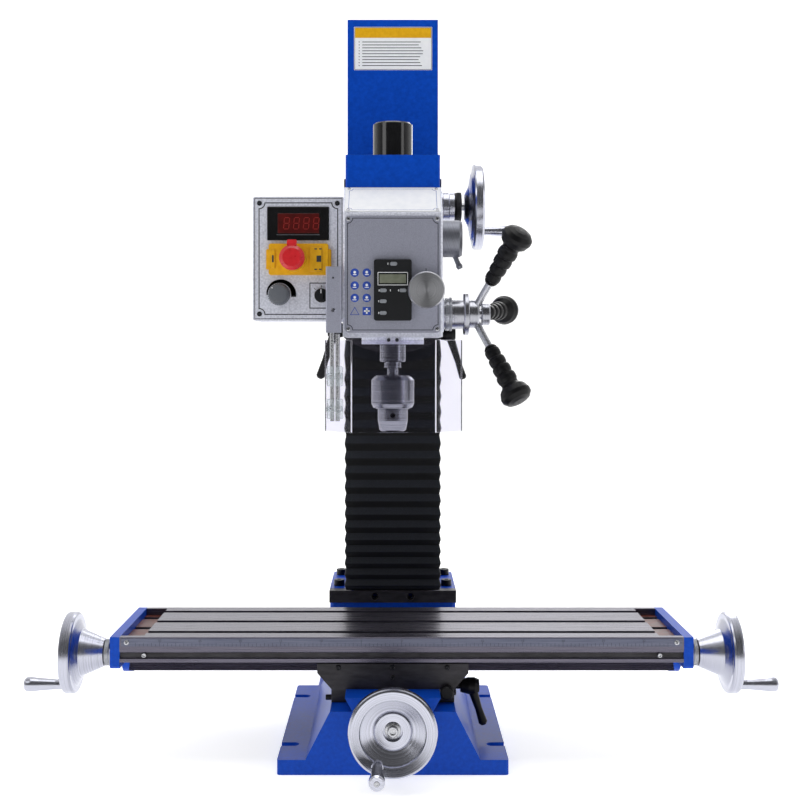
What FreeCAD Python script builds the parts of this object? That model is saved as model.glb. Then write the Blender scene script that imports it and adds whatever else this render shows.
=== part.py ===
"""Benchtop milling machine with a drill chuck fitted, as an assembly of separate pieces.

Frame: millimetres, +X to the operator's right, +Y away from the operator, +Z up.
The origin is the middle of the underside of the base.
"""

import FreeCAD, Part
import math
import os

V = FreeCAD.Vector
LEFT, RIGHT, FRONT, BACK, UP, DOWN = (-1, 0, 0), (1, 0, 0), (0, -1, 0), (0, 1, 0), (0, 0, 1), (0, 0, -1)

# Fits
RUN = 0.05          # radial clearance of a running fit, and of a sliding way
GAP = 0.3           # clearance between round faces that only pass each other
GIB_T = 5.0         # thickness of a gib strip, square to the way

# Base and Y ways
BASE_W, BASE_FRONT, BASE_BACK = 282.0, -235.0, 235.0
FLANGE_T, FLANGE_BACK = 18.5, 103.0
SLOT_W, SLOT_END, SLOT_Y = 14.0, 118.0, (-174.0, 45.0)
PEDESTAL_LOW, PEDESTAL_TOP = 106.0, 76.6
Y_WAY_Z, Y_WAY_TOP, Y_WAY_WIDE, Y_WAY_NECK = 77.0, 93.5, 58.3, 49.0
FOOT_FRONT, FOOT_Z, FOOT_TOP, FOOT_HALF = 96.0, 140.0, 163.7, 93.0

# Fasteners and clamping levers
BOLT_SPOTS = [(x, y) for x in (-80, 80) for y in (120, 210)]
BOLT_R, BOLT_L = 5.0, 30.0
SADDLE_FRONT_SCREWS = [(x, 120.5) for x in (-68, 0, 68)] + [(0, 108)]
SADDLE_SIDE_SCREWS_Y, SADDLE_SIDE_SCREWS_Z = (-180, -110, -60), 86.0
QUILL_LOCK_Y, QUILL_LOCK_Z = -80.0, 543.0
Z_LOCK_Y, Z_LOCK_Z = 91.5, 540.0

# Column and Z ways
WAY_Y, NECK_Y, WAY_HALF, NECK_HALF = 96.0, 116.0, 58.0, 47.0
COLUMN_HALF, COLUMN_BACK, COLUMN_TOP = 65.0, 228.0, 800.0
CHANNEL_HALF = 24.0
Z_SCREW_Y, Z_SCREW_R = 88.0, 8.0

# Saddle, table and their screws
SADDLE_HALF, SADDLE_FRONT, SADDLE_BACK, SADDLE_TOP = 94.3, -195.0, -33.0, 125.3
TABLE_X, TABLE_Y, TABLE_L, TABLE_W, TABLE_TOP = 11.0, -114.0, 700.0, 180.0, 160.4
RIB_Z, X_WAY_Z, X_WAY_WIDE, X_WAY_NECK = 129.0, 111.0, 58.0, 48.0
T_PITCH, T_SLOT, T_HEAD, T_HEAD_H, T_DEPTH = 61.0, 12.0, 20.0, 8.0, 20.0
TROUGH, TROUGH_DEPTH, RIM = 29.0, 9.0, 9.0
BRACKET_T, BRACKET_LOW = 12.0, 121.0
X_SCREW_Z, Y_SCREW_Z, SCREW_R = 120.0, 70.3, 8.0

# Handwheels
WHEEL_R, RIM_T, WHEEL_DEPTH, PIN_R, CRANK_R = 52.4, 15.0, 50.0, 3.0, 42.0
Z_WHEEL_R, Z_CRANK_R, Z_WHEEL_DEPTH = 63.0, 50.0, 27.0
HANDLE_L = 54.0
X_WHEEL_OUT = 76.0                      # table bracket's outer face to the rim's outer face
Y_WHEEL_FRONT = -305.0
Z_WHEEL_FACE = 132.0
Y_CRANK_TURN, Z_CRANK_TURN = 115.4, 130.0    # where each crank pin stands round its wheel

# Carriage and head
CARRIAGE_HALF, CARRIAGE_FRONT, CARRIAGE_BACK, CARRIAGE_TOP = 68.0, -8.0, 115.6, 755.0
TILT_Z, TILT_ARC_R, TILT_PIN_R, TILT_DISC_R = 631.0, 119.0, 20.0, 55.0
Z_WHEEL_Z = 727.0
HEAD_HALF, HEAD_FRONT, HEAD_BACK, HEAD_LOW, HEAD_TOP = 62.5, -193.0, -14.0, 533.0, 726.0
SLOPE_Y, SLOPE_Z, WALL = -143.0, 688.0, 7.0
COVER_HALF, COVER_TOP, COVER_T = 61.0, 768.0, 2.0
SPINDLE_Y = -105.0
QUILL_R, QUILL_TOP, QUILL_LOW, BOSS_R = 38.0, 668.0, 526.0, 46.0
CAP_R, CAP_TOP = 26.0, 814.5

# Quill feed: a rack on the back of the quill and a pinion on the hub's shaft
MODULE, PINION_TEETH = 2.0, 14
HUB_Y, HUB_Z = SPINDLE_Y + QUILL_R - MODULE + MODULE * PINION_TEETH / 2, 565.0
HUB_START = 69.0
SPOKE_FROM, SPOKE_TO, SPOKE_REACH = 107.0, 167.0, 130.0
SPOKE_ANGLES = (4.4, 124.4, 244.4)

# Z drive: a pair of equal bevel gears
BEVEL_TEETH, BEVEL_MODULE, BEVEL_FACE = 18, 2.0, 7.0
BEVEL_R = BEVEL_TEETH * BEVEL_MODULE / 2

# Belt drive
MOTOR_AT, MOTOR_R = (27.0, -50.0), 22.0
PULLEY_LOW, PULLEY_HIGH, SPINDLE_PULLEY_R, MOTOR_PULLEY_R = 736.0, 756.0, 33.0, 14.0
HEX_R = 12.0

# Control box, readout and guard
BOX_LEFT, BOX_FRONT, BOX_BACK, BOX_LOW, BOX_TOP = -179.0, -155.0, -65.0, 554.0, 712.6
SPEED_X, SPEED_Z = -145.0, 587.5
DIRECTION_X, DIRECTION_Z = -91.0, 586.0
STOP_X, STOP_Z = -127.0, 633.0
FINE_X, FINE_Z, FINE_SHAFT_R = 41.5, 590.5, 3.0
RANGE_Y, RANGE_Z = -58.0, 667.0
GUARD_PIVOT, GUARD_ROD_GAP, GUARD_ROD_R = (-75.5, -200.0), 7.0, 2.8
GUARD_TOP, GUARD_LOW, GUARD_T = 529.0, 414.0, 3.0


# ---------------------------------------------------------------- helpers

def box(x0, x1, y0, y1, z0, z1):
    return Part.makeBox(x1 - x0, y1 - y0, z1 - z0, V(x0, y0, z0))


def rod(r, start, direction, length):
    return Part.makeCylinder(r, length, V(*start), V(*direction))


def ring(r_out, r_in, start, direction, length):
    return rod(r_out, start, direction, length).cut(rod(r_in, start, direction, length))


def prism(plane, points, start, length):
    """A polygon drawn in XY, XZ or YZ, carried along the third axis from start."""
    at = {
        "XY": lambda a, b: V(a, b, start),
        "XZ": lambda a, b: V(a, start, b),
        "YZ": lambda a, b: V(start, a, b),
    }[plane]
    way = {"XY": V(0, 0, length), "XZ": V(0, length, 0), "YZ": V(length, 0, 0)}[plane]
    corners = [at(a, b) for a, b in points]
    return Part.Face(Part.makePolygon(corners + corners[:1])).extrude(way)


def placed(shape, origin, direction, turn=0.0):
    """A shape made about the Z axis, turned about it, then set at origin along direction."""
    shape = shape.copy()
    spin = FreeCAD.Rotation(V(0, 0, 1), turn)
    aim = FreeCAD.Rotation(V(0, 0, 1), V(*direction))
    shape.Placement = FreeCAD.Placement(V(*origin), aim.multiply(spin))
    return shape


def turned(profile, origin=(0, 0, 0), direction=UP):
    """A lathe part: profile holds (radius, height) corners in order."""
    corners = [V(r, 0, h) for r, h in profile]
    face = Part.Face(Part.makePolygon(corners + corners[:1]))
    return placed(face.revolve(V(0, 0, 0), V(0, 0, 1), 360), origin, direction)


def mirrored(shape):
    return shape.mirror(V(0, 0, 0), V(1, 0, 0))


def group(shapes):
    return Part.makeCompound(shapes)


def fuse(first, *others):
    return first.fuse(list(others)).removeSplitter()


def cut(first, *others):
    return first.cut(list(others))


def along(shape, direction):
    """The straight edges of a shape that run along an axis."""
    way = V(*direction)
    edges = [e for e in shape.Edges if len(e.Vertexes) == 2 and isinstance(e.Curve, Part.Line)]
    return [e for e in edges if abs(e.Curve.Direction.dot(way)) > 0.999]


def rounded(shape, radius, direction, keep=lambda centre: True):
    """A shape with its edges along an axis rounded, where keep says so of their centres."""
    return shape.makeFillet(radius, [e for e in along(shape, direction) if keep(e.CenterOfMass)])


def socket_screw(head_r, head_h, shank_r, shank_l, origin, direction):
    """A socket head cap screw: the head stands on origin and points along direction."""
    head = turned([(0, 0), (head_r, 0), (head_r, head_h - 0.8), (head_r - 0.8, head_h), (0, head_h)])
    hexagon = [(head_r * 0.5 * math.cos(math.radians(60 * i)), head_r * 0.5 * math.sin(math.radians(60 * i)))
               for i in range(6)]
    head = head.cut(prism("XY", hexagon, head_h * 0.4, head_h))
    shank = rod(shank_r, (0, 0, -shank_l), UP, shank_l)
    return placed(head.fuse(shank), origin, direction)


def gear_outline(teeth, module, share=0.38):
    """Straight-sided gear teeth, thinned to share of the pitch for clearance, tooth 0 at angle 0."""
    pitch_r = teeth * module / 2
    pitch = 2 * math.pi / teeth
    levels = ((pitch_r - 1.25 * module, 0.5 * share + 0.13), (pitch_r + 0.9 * module, 0.5 * share - 0.1))
    points = []
    for i in range(teeth):
        for side, (r, half) in ((-1, levels[0]), (-1, levels[1]), (1, levels[1]), (1, levels[0])):
            angle = (i + side * half) * pitch
            points.append((r * math.cos(angle), r * math.sin(angle)))
    return points


def bevel_gear(bore_r):
    """One of the pair of 45 degree bevel gears: big end at height 0, apex at height BEVEL_R."""
    outline = gear_outline(BEVEL_TEETH, BEVEL_MODULE)
    shrink = (BEVEL_R - BEVEL_FACE) / BEVEL_R
    low = [V(x, y, 0) for x, y in outline]
    high = [V(x * shrink, y * shrink, BEVEL_FACE) for x, y in outline]
    loops = [low, high]
    loops += [[low[i - 1], low[i], high[i], high[i - 1]] for i in range(len(low))]
    faces = [Part.Face(Part.makePolygon(loop + loop[:1])) for loop in loops]
    solid = Part.Solid(Part.Shell(faces))
    if solid.Volume < 0:
        solid.reverse()
    return solid.cut(rod(bore_r, (0, 0, -1), UP, BEVEL_FACE + 2))


def clamp_lever(origin, axis, swing, length, lean=18.0):
    """A ratchet clamping lever: hub on origin along axis, arm pointing along swing and leaning out."""
    hub = turned([(0, 0), (8, 0), (10.5, 10), (10.5, 18), (8, 24), (0, 24)])
    screw = rod(4, (0, 0, -14), UP, 16)
    arm = turned([(0, 0), (6.5, 0), (4.6, length * 0.6), (5.8, length - 3), (3.5, length), (0, length)])
    out = math.radians(lean)
    local_swing = FreeCAD.Rotation(V(0, 0, 1), V(*axis)).inverted().multVec(V(*swing))
    aim = local_swing * math.cos(out) + V(0, 0, 1) * math.sin(out)
    arm = placed(arm, (0, 0, 14), tuple(aim))
    return placed(fuse(hub, arm, screw), origin, axis)


def handwheel(radius, bore_r, depth):
    """A dished handwheel: the rim's outer face at height 0, the hub's inner end at depth."""
    r = radius
    profile = [
        (bore_r, 18), (12, 18), (12, 12), (21, 12), (23, 14), (r - 14, 5.5), (r - 13, 2.5),
        (r - 3, 0), (r - 0.8, 1), (r, 3), (r, RIM_T - 3), (r - 1, RIM_T - 1), (r - 3, RIM_T),
        (r - 9, RIM_T), (r - 15, 18), (30.5, 21), (18, depth), (bore_r, depth),
    ]
    return turned(profile)


def wheel_with_pin(radius, crank_r, angle, bore_r, depth=WHEEL_DEPTH):
    """A handwheel with its crank pin, which stands out of the rim's face at an angle about its axis."""
    x = crank_r * math.cos(math.radians(angle))
    y = crank_r * math.sin(math.radians(angle))
    pin = rod(PIN_R, (x, y, 8), DOWN, 8 + HANDLE_L - 4)
    boss = rod(7, (x, y, 8), DOWN, 7)
    return handwheel(radius, bore_r, depth).fuse([pin, boss]), (x, y)


def crank_handle():
    """A tapered handle that spins on its pin: rim end at height 0, outer end at HANDLE_L."""
    bore = PIN_R + GAP
    end = HANDLE_L
    profile = [
        (bore, 0), (5.2, 0), (6.2, 1.2), (6.6, 14), (8.4, 36), (9.5, end - 8), (9.3, end - 2.5),
        (7.6, end), (bore, end),
    ]
    return turned(profile)


def dovetail(wide, neck, near, far, clearance=0.0):
    """Corners of a dovetail in its own section: wide at near, narrow at far, grown by clearance."""
    wide += clearance
    neck += clearance
    return [(-wide, near), (wide, near), (neck, far), (-neck, far)]


def gib_outline(wide, neck, near, far):
    """The gib strip's section, against the dovetail's flank on the plus side."""
    slide = GIB_T
    return [(wide + RUN, near), (wide + slide, near), (neck + slide, far), (neck + RUN, far)]


# ---------------------------------------------------------------- base, column and Z screw

def make_base():
    flange = box(-BASE_W / 2, BASE_W / 2, BASE_FRONT, FLANGE_BACK, 0, FLANGE_T)
    flange = rounded(flange, 4, UP)
    section = [
        (-PEDESTAL_LOW, 0), (-PEDESTAL_LOW, FLANGE_T + 1), (-PEDESTAL_TOP, Y_WAY_Z),
        (-Y_WAY_NECK, Y_WAY_Z), (-Y_WAY_WIDE, Y_WAY_TOP), (Y_WAY_WIDE, Y_WAY_TOP),
        (Y_WAY_NECK, Y_WAY_Z), (PEDESTAL_TOP, Y_WAY_Z), (PEDESTAL_LOW, FLANGE_T + 1), (PEDESTAL_LOW, 0),
    ]
    pedestal = prism("XZ", section, BASE_FRONT, FOOT_FRONT + 4 - BASE_FRONT)
    rear = rounded(box(-FOOT_HALF, FOOT_HALF, FOOT_FRONT, BASE_BACK, 0, FOOT_Z), 6, UP)
    rear_flange = box(-110, 110, FOOT_FRONT, BASE_BACK, 0, FLANGE_T)
    body = fuse(flange, pedestal, rear, rear_flange)
    front_cavity = box(-68, 68, BASE_FRONT + 16, FOOT_FRONT - 12, -1, 58)
    rear_cavity = box(-78, 78, FOOT_FRONT + 14, BASE_BACK - 14, -1, FOOT_Z - 22)
    nut_slot = box(-18, 18, BASE_FRONT + 16, FOOT_FRONT - 12, 50, Y_WAY_TOP + 1)
    screw_hole = rod(SCREW_R + 1, (0, BASE_FRONT - 1, Y_SCREW_Z), BACK, 30)
    bolt_holes = [rod(BOLT_R + RUN, (x, y, FOOT_TOP - BOLT_L - 1), UP, BOLT_L) for x, y in BOLT_SPOTS]
    body = cut(body, front_cavity, rear_cavity, nut_slot, screw_hole, *bolt_holes)
    half = SLOT_W / 2
    for y in SLOT_Y:
        for side in (-1, 1):
            middle = side * (SLOT_END + half)
            x0, x1 = sorted((middle, side * (BASE_W / 2 + 1)))
            body = cut(body, rod(half, (middle, y, -1), UP, 30), box(x0, x1, y - half, y + half, -1, 30))
    return body


def make_y_screw_bracket():
    plate = prism("XZ", [(-30, 46), (30, 46), (34, 62), (30, 92), (-30, 92), (-34, 62)], BASE_FRONT - 14, 14)
    boss = rod(19, (0, BASE_FRONT - 19, Y_SCREW_Z), BACK, 6)
    bore = rod(6 + RUN, (0, BASE_FRONT - 20, Y_SCREW_Z), BACK, 30)
    return cut(fuse(plate, boss), bore)


def make_column():
    foot = rounded(box(-FOOT_HALF, FOOT_HALF, FOOT_FRONT, BASE_BACK, FOOT_Z, FOOT_TOP), 6, UP)
    trunk = box(-COLUMN_HALF, COLUMN_HALF, NECK_Y, COLUMN_BACK, FOOT_TOP - 1, COLUMN_TOP)
    trunk = rounded(trunk, 10, UP, lambda c: c.y > NECK_Y + 1)
    sink = 0.1
    neck = NECK_HALF - sink * (WAY_HALF - NECK_HALF) / (NECK_Y - WAY_Y)
    ways = prism("XY", dovetail(WAY_HALF, neck, WAY_Y, NECK_Y + sink), FOOT_TOP - 1, COLUMN_TOP - FOOT_TOP + 1)
    body = fuse(foot, trunk, ways)
    channel = box(-CHANNEL_HALF, CHANNEL_HALF, WAY_Y - 1, 142, FOOT_TOP, COLUMN_TOP + 1)
    hollow = box(-50, 50, 138, COLUMN_BACK - 12, FOOT_Z - 1, COLUMN_TOP - 12)
    bolt_holes = [rod(BOLT_R + RUN, (x, y, FOOT_Z - 1), UP, 40) for x, y in BOLT_SPOTS]
    return cut(body, channel, hollow, *bolt_holes)


def make_column_bolts():
    return group([socket_screw(8, 9, BOLT_R, BOLT_L, (x, y, FOOT_TOP), UP) for x, y in BOLT_SPOTS])


def make_z_screw_brackets():
    """The bracket on the foot holds the Z screw's lower end and the bellows; the other caps the column."""
    plate = box(-FOOT_HALF, FOOT_HALF, Z_SCREW_Y - 10, FOOT_FRONT, 146, FOOT_TOP)
    bore = rod(6 + RUN, (0, Z_SCREW_Y, 140), UP, 30)
    body = cut(plate, bore)
    for x in (-26, 26):
        hole = turned([(0, -1), (3.2, -1), (3.2, 12), (5.6, 12), (5.6, 20), (0, 20)])
        body = cut(body, placed(hole, (x, FOOT_FRONT, 155), FRONT))
    cap = rounded(box(-38, 38, Z_SCREW_Y - 10, 160, COLUMN_TOP, COLUMN_TOP + 12), 6, UP)
    return group([body, cut(cap, rod(6 + RUN, (0, Z_SCREW_Y, COLUMN_TOP - 1), UP, 20))])


def make_z_screw():
    low, high = 150, COLUMN_TOP + 20
    profile = [
        (0, low), (6, low), (6, FOOT_TOP + 0.5), (Z_SCREW_R, FOOT_TOP + 2), (Z_SCREW_R, COLUMN_TOP - 2),
        (6, COLUMN_TOP - 0.5), (6, high), (0, high),
    ]
    return turned(profile, (0, Z_SCREW_Y, 0))


def make_bellows():
    """A folded way cover, a channel in plan, from the foot bracket to the underside of the carriage."""
    low, high, pitch = FOOT_TOP + 0.3, TILT_Z - TILT_ARC_R, 14.5
    folds = int((high - low) / pitch)
    step = (high - low) / folds
    outer_y, half = Z_SCREW_Y - 12, 70.0

    def zigzag(near, far):
        points = [(near, low)]
        for i in range(folds):
            points += [(far, low + (i + 0.5) * step), (near, low + (i + 1) * step)]
        return points

    front = zigzag(outer_y + 1.5, outer_y)
    front_wall = prism("YZ", front + [(outer_y + 3.6, high), (outer_y + 3.6, low)], -half + 3, 2 * half - 6)
    side = zigzag(half - 1.5, half)
    side_wall = prism("XZ", side + [(half - 3.6, high), (half - 3.6, low)], outer_y + 1.5, 17)
    return fuse(front_wall, side_wall, mirrored(side_wall))


# ---------------------------------------------------------------- saddle and table

def make_saddle():
    section = [
        (-SADDLE_HALF, SADDLE_TOP), (-SADDLE_HALF, 113.5), (-PEDESTAL_TOP, Y_WAY_TOP), (-PEDESTAL_TOP, Y_WAY_Z + 0.2),
        (PEDESTAL_TOP, Y_WAY_Z + 0.2), (PEDESTAL_TOP, Y_WAY_TOP), (SADDLE_HALF, 113.5), (SADDLE_HALF, SADDLE_TOP),
    ]
    body = prism("XZ", section, SADDLE_FRONT, SADDLE_BACK - SADDLE_FRONT)
    flat = Y_WAY_TOP + RUN
    y_way = dovetail(Y_WAY_WIDE, Y_WAY_NECK, flat, Y_WAY_Z, RUN)
    y_way[1] = (Y_WAY_WIDE + GIB_T + RUN, flat)
    y_way[2] = (Y_WAY_NECK + GIB_T + RUN, Y_WAY_Z)
    sink = 0.2
    wide = X_WAY_WIDE + sink * (X_WAY_WIDE - X_WAY_NECK) / (RIB_Z - X_WAY_Z)
    x_way = [(TABLE_Y + a, b) for a, b in dovetail(wide, X_WAY_NECK, X_WAY_Z - sink, RIB_Z, RUN)]
    x_way[1] = (TABLE_Y + wide + GIB_T + RUN, X_WAY_Z - sink)
    x_way[2] = (TABLE_Y + X_WAY_NECK + GIB_T + RUN, RIB_Z)
    return cut(
        body,
        prism("XZ", y_way, SADDLE_FRONT - 1, SADDLE_BACK - SADDLE_FRONT + 2),
        prism("YZ", x_way, -SADDLE_HALF - 1, 2 * SADDLE_HALF + 2),
        rod(2.6, (67, SADDLE_FRONT - 1, 91), BACK, 18),
        rod(4 + RUN, (PEDESTAL_TOP + 1, -150, 86), LEFT, 15),
        *[rod(2 + RUN, (x, SADDLE_FRONT - 1, z), BACK, 7) for x, z in SADDLE_FRONT_SCREWS],
        *[rod(2.4 + RUN, (PEDESTAL_TOP + 1, y, SADDLE_SIDE_SCREWS_Z), LEFT, 8) for y in SADDLE_SIDE_SCREWS_Y],
    )


def make_saddle_gibs():
    lift = 0.3
    neck = Y_WAY_NECK + lift * (Y_WAY_WIDE - Y_WAY_NECK) / (Y_WAY_TOP - Y_WAY_Z)
    y_gib = prism("XZ", gib_outline(Y_WAY_WIDE, neck, Y_WAY_TOP, Y_WAY_Z + lift), SADDLE_FRONT + 1,
                  SADDLE_BACK - SADDLE_FRONT - 2)
    outline = gib_outline(X_WAY_WIDE, X_WAY_NECK, X_WAY_Z, SADDLE_TOP)
    slope = (X_WAY_WIDE - X_WAY_NECK) / (RIB_Z - X_WAY_Z)
    top = X_WAY_WIDE - slope * (SADDLE_TOP - X_WAY_Z)
    outline[2] = (top + GIB_T, SADDLE_TOP)
    outline[3] = (top + RUN, SADDLE_TOP)
    x_gib = prism("YZ", [(TABLE_Y + a, b) for a, b in outline], -SADDLE_HALF + 1, 2 * SADDLE_HALF - 2)
    return group([y_gib, x_gib])


def make_gib_screws():
    """The saddle's small cap screws, along its front and its right side."""
    front = [socket_screw(3.2, 2.2, 2, 5, (x, SADDLE_FRONT, z), FRONT) for x, z in SADDLE_FRONT_SCREWS]
    side = [socket_screw(4, 3, 2.4, 6, (PEDESTAL_TOP, y, SADDLE_SIDE_SCREWS_Z), RIGHT) for y in SADDLE_SIDE_SCREWS_Y]
    return group(front + side)


def make_feed_nuts():
    x_nut = box(-22, 22, TABLE_Y - 13, TABLE_Y + 13, X_WAY_Z - 0.2, 130.5)
    x_nut = cut(x_nut, rod(SCREW_R + GAP, (-30, TABLE_Y, X_SCREW_Z), RIGHT, 60))
    y_nut = box(-15, 15, TABLE_Y - 20, TABLE_Y + 20, Y_SCREW_Z - 12, Y_WAY_TOP + RUN)
    y_nut = cut(y_nut, rod(SCREW_R + GAP, (0, TABLE_Y - 30, Y_SCREW_Z), BACK, 60))
    return group([x_nut, y_nut])


def make_saddle_lock_lever():
    return clamp_lever((PEDESTAL_TOP + 10, -150, 86), RIGHT, DOWN, 52)


def make_table_lock_knob():
    knob = turned([(0, 0), (7, 0), (8.2, 1.5), (8.2, 9), (7, 10.5), (0, 10.5)], (67, SADDLE_FRONT - 1, 91), FRONT)
    stem = rod(2.5, (67, SADDLE_FRONT - 1.5, 91), BACK, 14)
    return fuse(knob, stem)


def make_table():
    half = TABLE_W / 2
    # outline of the casting's end, seen along X: slab, grooved front edge, hanging dovetail
    section = [
        (-half, TABLE_TOP), (-half, 142), (-half + 3, 141), (-half + 3, 134.5), (-half, 133.5), (-half, RIB_Z),
        (-X_WAY_NECK, RIB_Z), (-X_WAY_WIDE, X_WAY_Z), (X_WAY_WIDE, X_WAY_Z), (X_WAY_NECK, RIB_Z),
        (half, RIB_Z), (half, TABLE_TOP),
    ]
    left = TABLE_X - TABLE_L / 2
    right = TABLE_X + TABLE_L / 2
    body = prism("YZ", [(TABLE_Y + a, b) for a, b in section], left, TABLE_L)
    for i in (-1, 0, 1):
        y = TABLE_Y + i * T_PITCH
        floor = TABLE_TOP - T_DEPTH
        body = cut(
            body,
            box(left - 1, right + 1, y - T_SLOT / 2, y + T_SLOT / 2, floor, TABLE_TOP + 1),
            box(left - 1, right + 1, y - T_HEAD / 2, y + T_HEAD / 2, floor, floor + T_HEAD_H),
        )
    for x0, x1 in ((left - 1, left + TROUGH), (right - TROUGH, right + 1)):
        body = cut(body, box(x0, x1, TABLE_Y - half + RIM, TABLE_Y + half - RIM, TABLE_TOP - TROUGH_DEPTH, TABLE_TOP + 1))
    groove = box(left - 1, right + 1, TABLE_Y - 15, TABLE_Y + 15, X_WAY_Z - 1, 131)
    # the dovetail stops short of both ends, behind the end brackets' bearing lobes
    ends = [box(x0, x1, TABLE_Y - 70, TABLE_Y + 70, X_WAY_Z - 1, RIB_Z)
            for x0, x1 in ((left - 1, left + 5), (right - 5, right + 1))]
    return cut(body, groove, *ends)


def make_table_end_brackets():
    shapes = []
    half = TABLE_W / 2
    for side in (-1, 1):
        face = TABLE_X + side * TABLE_L / 2
        x0 = min(face, face + side * BRACKET_T)
        section = [(-half, TABLE_TOP), (-half, BRACKET_LOW + 3), (-half + 3, BRACKET_LOW),
                   (half - 3, BRACKET_LOW), (half, BRACKET_LOW + 3), (half, TABLE_TOP)]
        plate = prism("YZ", [(TABLE_Y + a, b) for a, b in section], x0, BRACKET_T)
        lobe = rod(24, (x0, TABLE_Y, X_SCREW_Z), RIGHT, BRACKET_T)
        boss = rod(17.5, (face + side * (BRACKET_T - 1), TABLE_Y, X_SCREW_Z), (side, 0, 0), 7)
        bore = rod(6 + RUN, (x0 - 20, TABLE_Y, X_SCREW_Z), RIGHT, 60)
        shapes.append(cut(fuse(plate, lobe, boss), bore))
    return group(shapes)


def make_x_screw():
    left = TABLE_X - TABLE_L / 2
    right = TABLE_X + TABLE_L / 2
    out = BRACKET_T + X_WHEEL_OUT - 18.5
    return turned([
        (0, left - out), (6, left - out), (6, left + 3), (SCREW_R, left + 5), (SCREW_R, right - 5),
        (6, right - 3), (6, right + out), (0, right + out),
    ], (0, TABLE_Y, X_SCREW_Z), RIGHT)


def x_wheel(side):
    """The wheel at one end of the table's screw, and where its crank pin stands."""
    face = TABLE_X + side * (TABLE_L / 2 + BRACKET_T + X_WHEEL_OUT)
    wheel, (px, py) = wheel_with_pin(WHEEL_R, CRANK_R, 0, 6)
    aim = (-side, 0, 0)
    # the crank pin hangs straight down
    turn = 90 + side * 90
    wheel = placed(wheel, (face, TABLE_Y, X_SCREW_Z), aim, turn)
    probe = placed(Part.Vertex(px, py, 0), (face, TABLE_Y, X_SCREW_Z), aim, turn)
    return wheel, probe.Vertexes[0].Point


def make_x_handwheels():
    return group([x_wheel(-1)[0], x_wheel(1)[0]])


def make_x_handle(side):
    at = x_wheel(side)[1]
    return placed(crank_handle(), (at.x + side * 1.0, at.y, at.z), (side, 0, 0))


def make_y_screw():
    end = FOOT_FRONT - 14
    return turned([
        (0, Y_WHEEL_FRONT + 18.5), (6, Y_WHEEL_FRONT + 18.5), (6, BASE_FRONT + 14), (SCREW_R, BASE_FRONT + 17),
        (SCREW_R, end - 8), (6, end - 6), (6, end), (0, end),
    ], (0, 0, Y_SCREW_Z), BACK)


def y_wheel():
    wheel, (px, py) = wheel_with_pin(WHEEL_R, CRANK_R, 0, 6)
    at = (0, Y_WHEEL_FRONT, Y_SCREW_Z)
    probe = placed(Part.Vertex(px, py, 0), at, BACK, Y_CRANK_TURN)
    return placed(wheel, at, BACK, Y_CRANK_TURN), probe.Vertexes[0].Point


def make_y_handle():
    at = y_wheel()[1]
    return placed(crank_handle(), (at.x, at.y - 1.0, at.z), FRONT)


# ---------------------------------------------------------------- Z carriage and its drive

def make_z_carriage():
    low = TILT_Z - TILT_ARC_R
    corner = TILT_Z - math.sqrt(TILT_ARC_R ** 2 - CARRIAGE_HALF ** 2)
    depth = CARRIAGE_BACK - CARRIAGE_FRONT
    arc = Part.Arc(V(-CARRIAGE_HALF, CARRIAGE_FRONT, corner), V(0, CARRIAGE_FRONT, low),
                   V(CARRIAGE_HALF, CARRIAGE_FRONT, corner)).toShape()
    sides = Part.makePolygon([
        V(CARRIAGE_HALF, CARRIAGE_FRONT, corner), V(CARRIAGE_HALF, CARRIAGE_FRONT, CARRIAGE_TOP),
        V(-CARRIAGE_HALF, CARRIAGE_FRONT, CARRIAGE_TOP), V(-CARRIAGE_HALF, CARRIAGE_FRONT, corner),
    ])
    body = Part.Face(Part.Wire([arc] + sides.Edges)).extrude(V(0, depth, 0))
    way = dovetail(WAY_HALF, NECK_HALF, WAY_Y - RUN, NECK_Y, RUN)
    way[0] = (-WAY_HALF - GIB_T - RUN, WAY_Y - RUN)
    way[3] = (-NECK_HALF - GIB_T - RUN, NECK_Y)
    spigot = rod(TILT_PIN_R, (0, CARRIAGE_FRONT, TILT_Z), FRONT, 14)
    apex = (0, Z_SCREW_Y, Z_WHEEL_Z)
    return cut(
        fuse(body, spigot),
        prism("XY", way, 500, 300),
        box(-CHANNEL_HALF, CHANNEL_HALF, Z_SCREW_Y - 24, WAY_Y + 1, 500, CARRIAGE_TOP - 7),
        rod(Z_SCREW_R + 2, (apex[0], apex[1], 700), UP, 100),
        rod(7 + RUN, apex, RIGHT, 90),
        rod(4 + RUN, (CARRIAGE_HALF + 1, Z_LOCK_Y, Z_LOCK_Z), LEFT, 16),
    )


def make_z_gib():
    outline = [(-a, b) for a, b in gib_outline(WAY_HALF, NECK_HALF, WAY_Y, CARRIAGE_BACK)]
    slope = (WAY_HALF - NECK_HALF) / (NECK_Y - WAY_Y)
    end = WAY_HALF - slope * (CARRIAGE_BACK - WAY_Y)
    outline[2] = (-end - GIB_T, CARRIAGE_BACK)
    outline[3] = (-end - RUN, CARRIAGE_BACK)
    return prism("XY", outline, 540, CARRIAGE_TOP - 542)


def make_column_cover():
    """A folded sheet that stands on the carriage, rises with it and hides the ways above it."""
    y0, top, t = 72.0, 998.5, 2.0
    sheet = box(-66, 66, y0, y0 + t, CARRIAGE_TOP, top)
    lips = [box(x, x + t, y0, y0 + 11, CARRIAGE_TOP + 2, top) for x in (-66, 66 - t)]
    foot = box(-66, 66, y0 - 24, y0 + t, CARRIAGE_TOP, CARRIAGE_TOP + t)
    return fuse(sheet, foot, *lips)


def make_z_dial_housing():
    at = (CARRIAGE_HALF, Z_SCREW_Y, Z_WHEEL_Z)
    profile = [
        (7 + RUN, 0), (24, 0), (24, 5), (22, 6), (22, 14), (21, 15), (21, 22.5), (19.3, 23), (19.3, 33), (7 + RUN, 33),
    ]
    return turned(profile, at, RIGHT)


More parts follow.
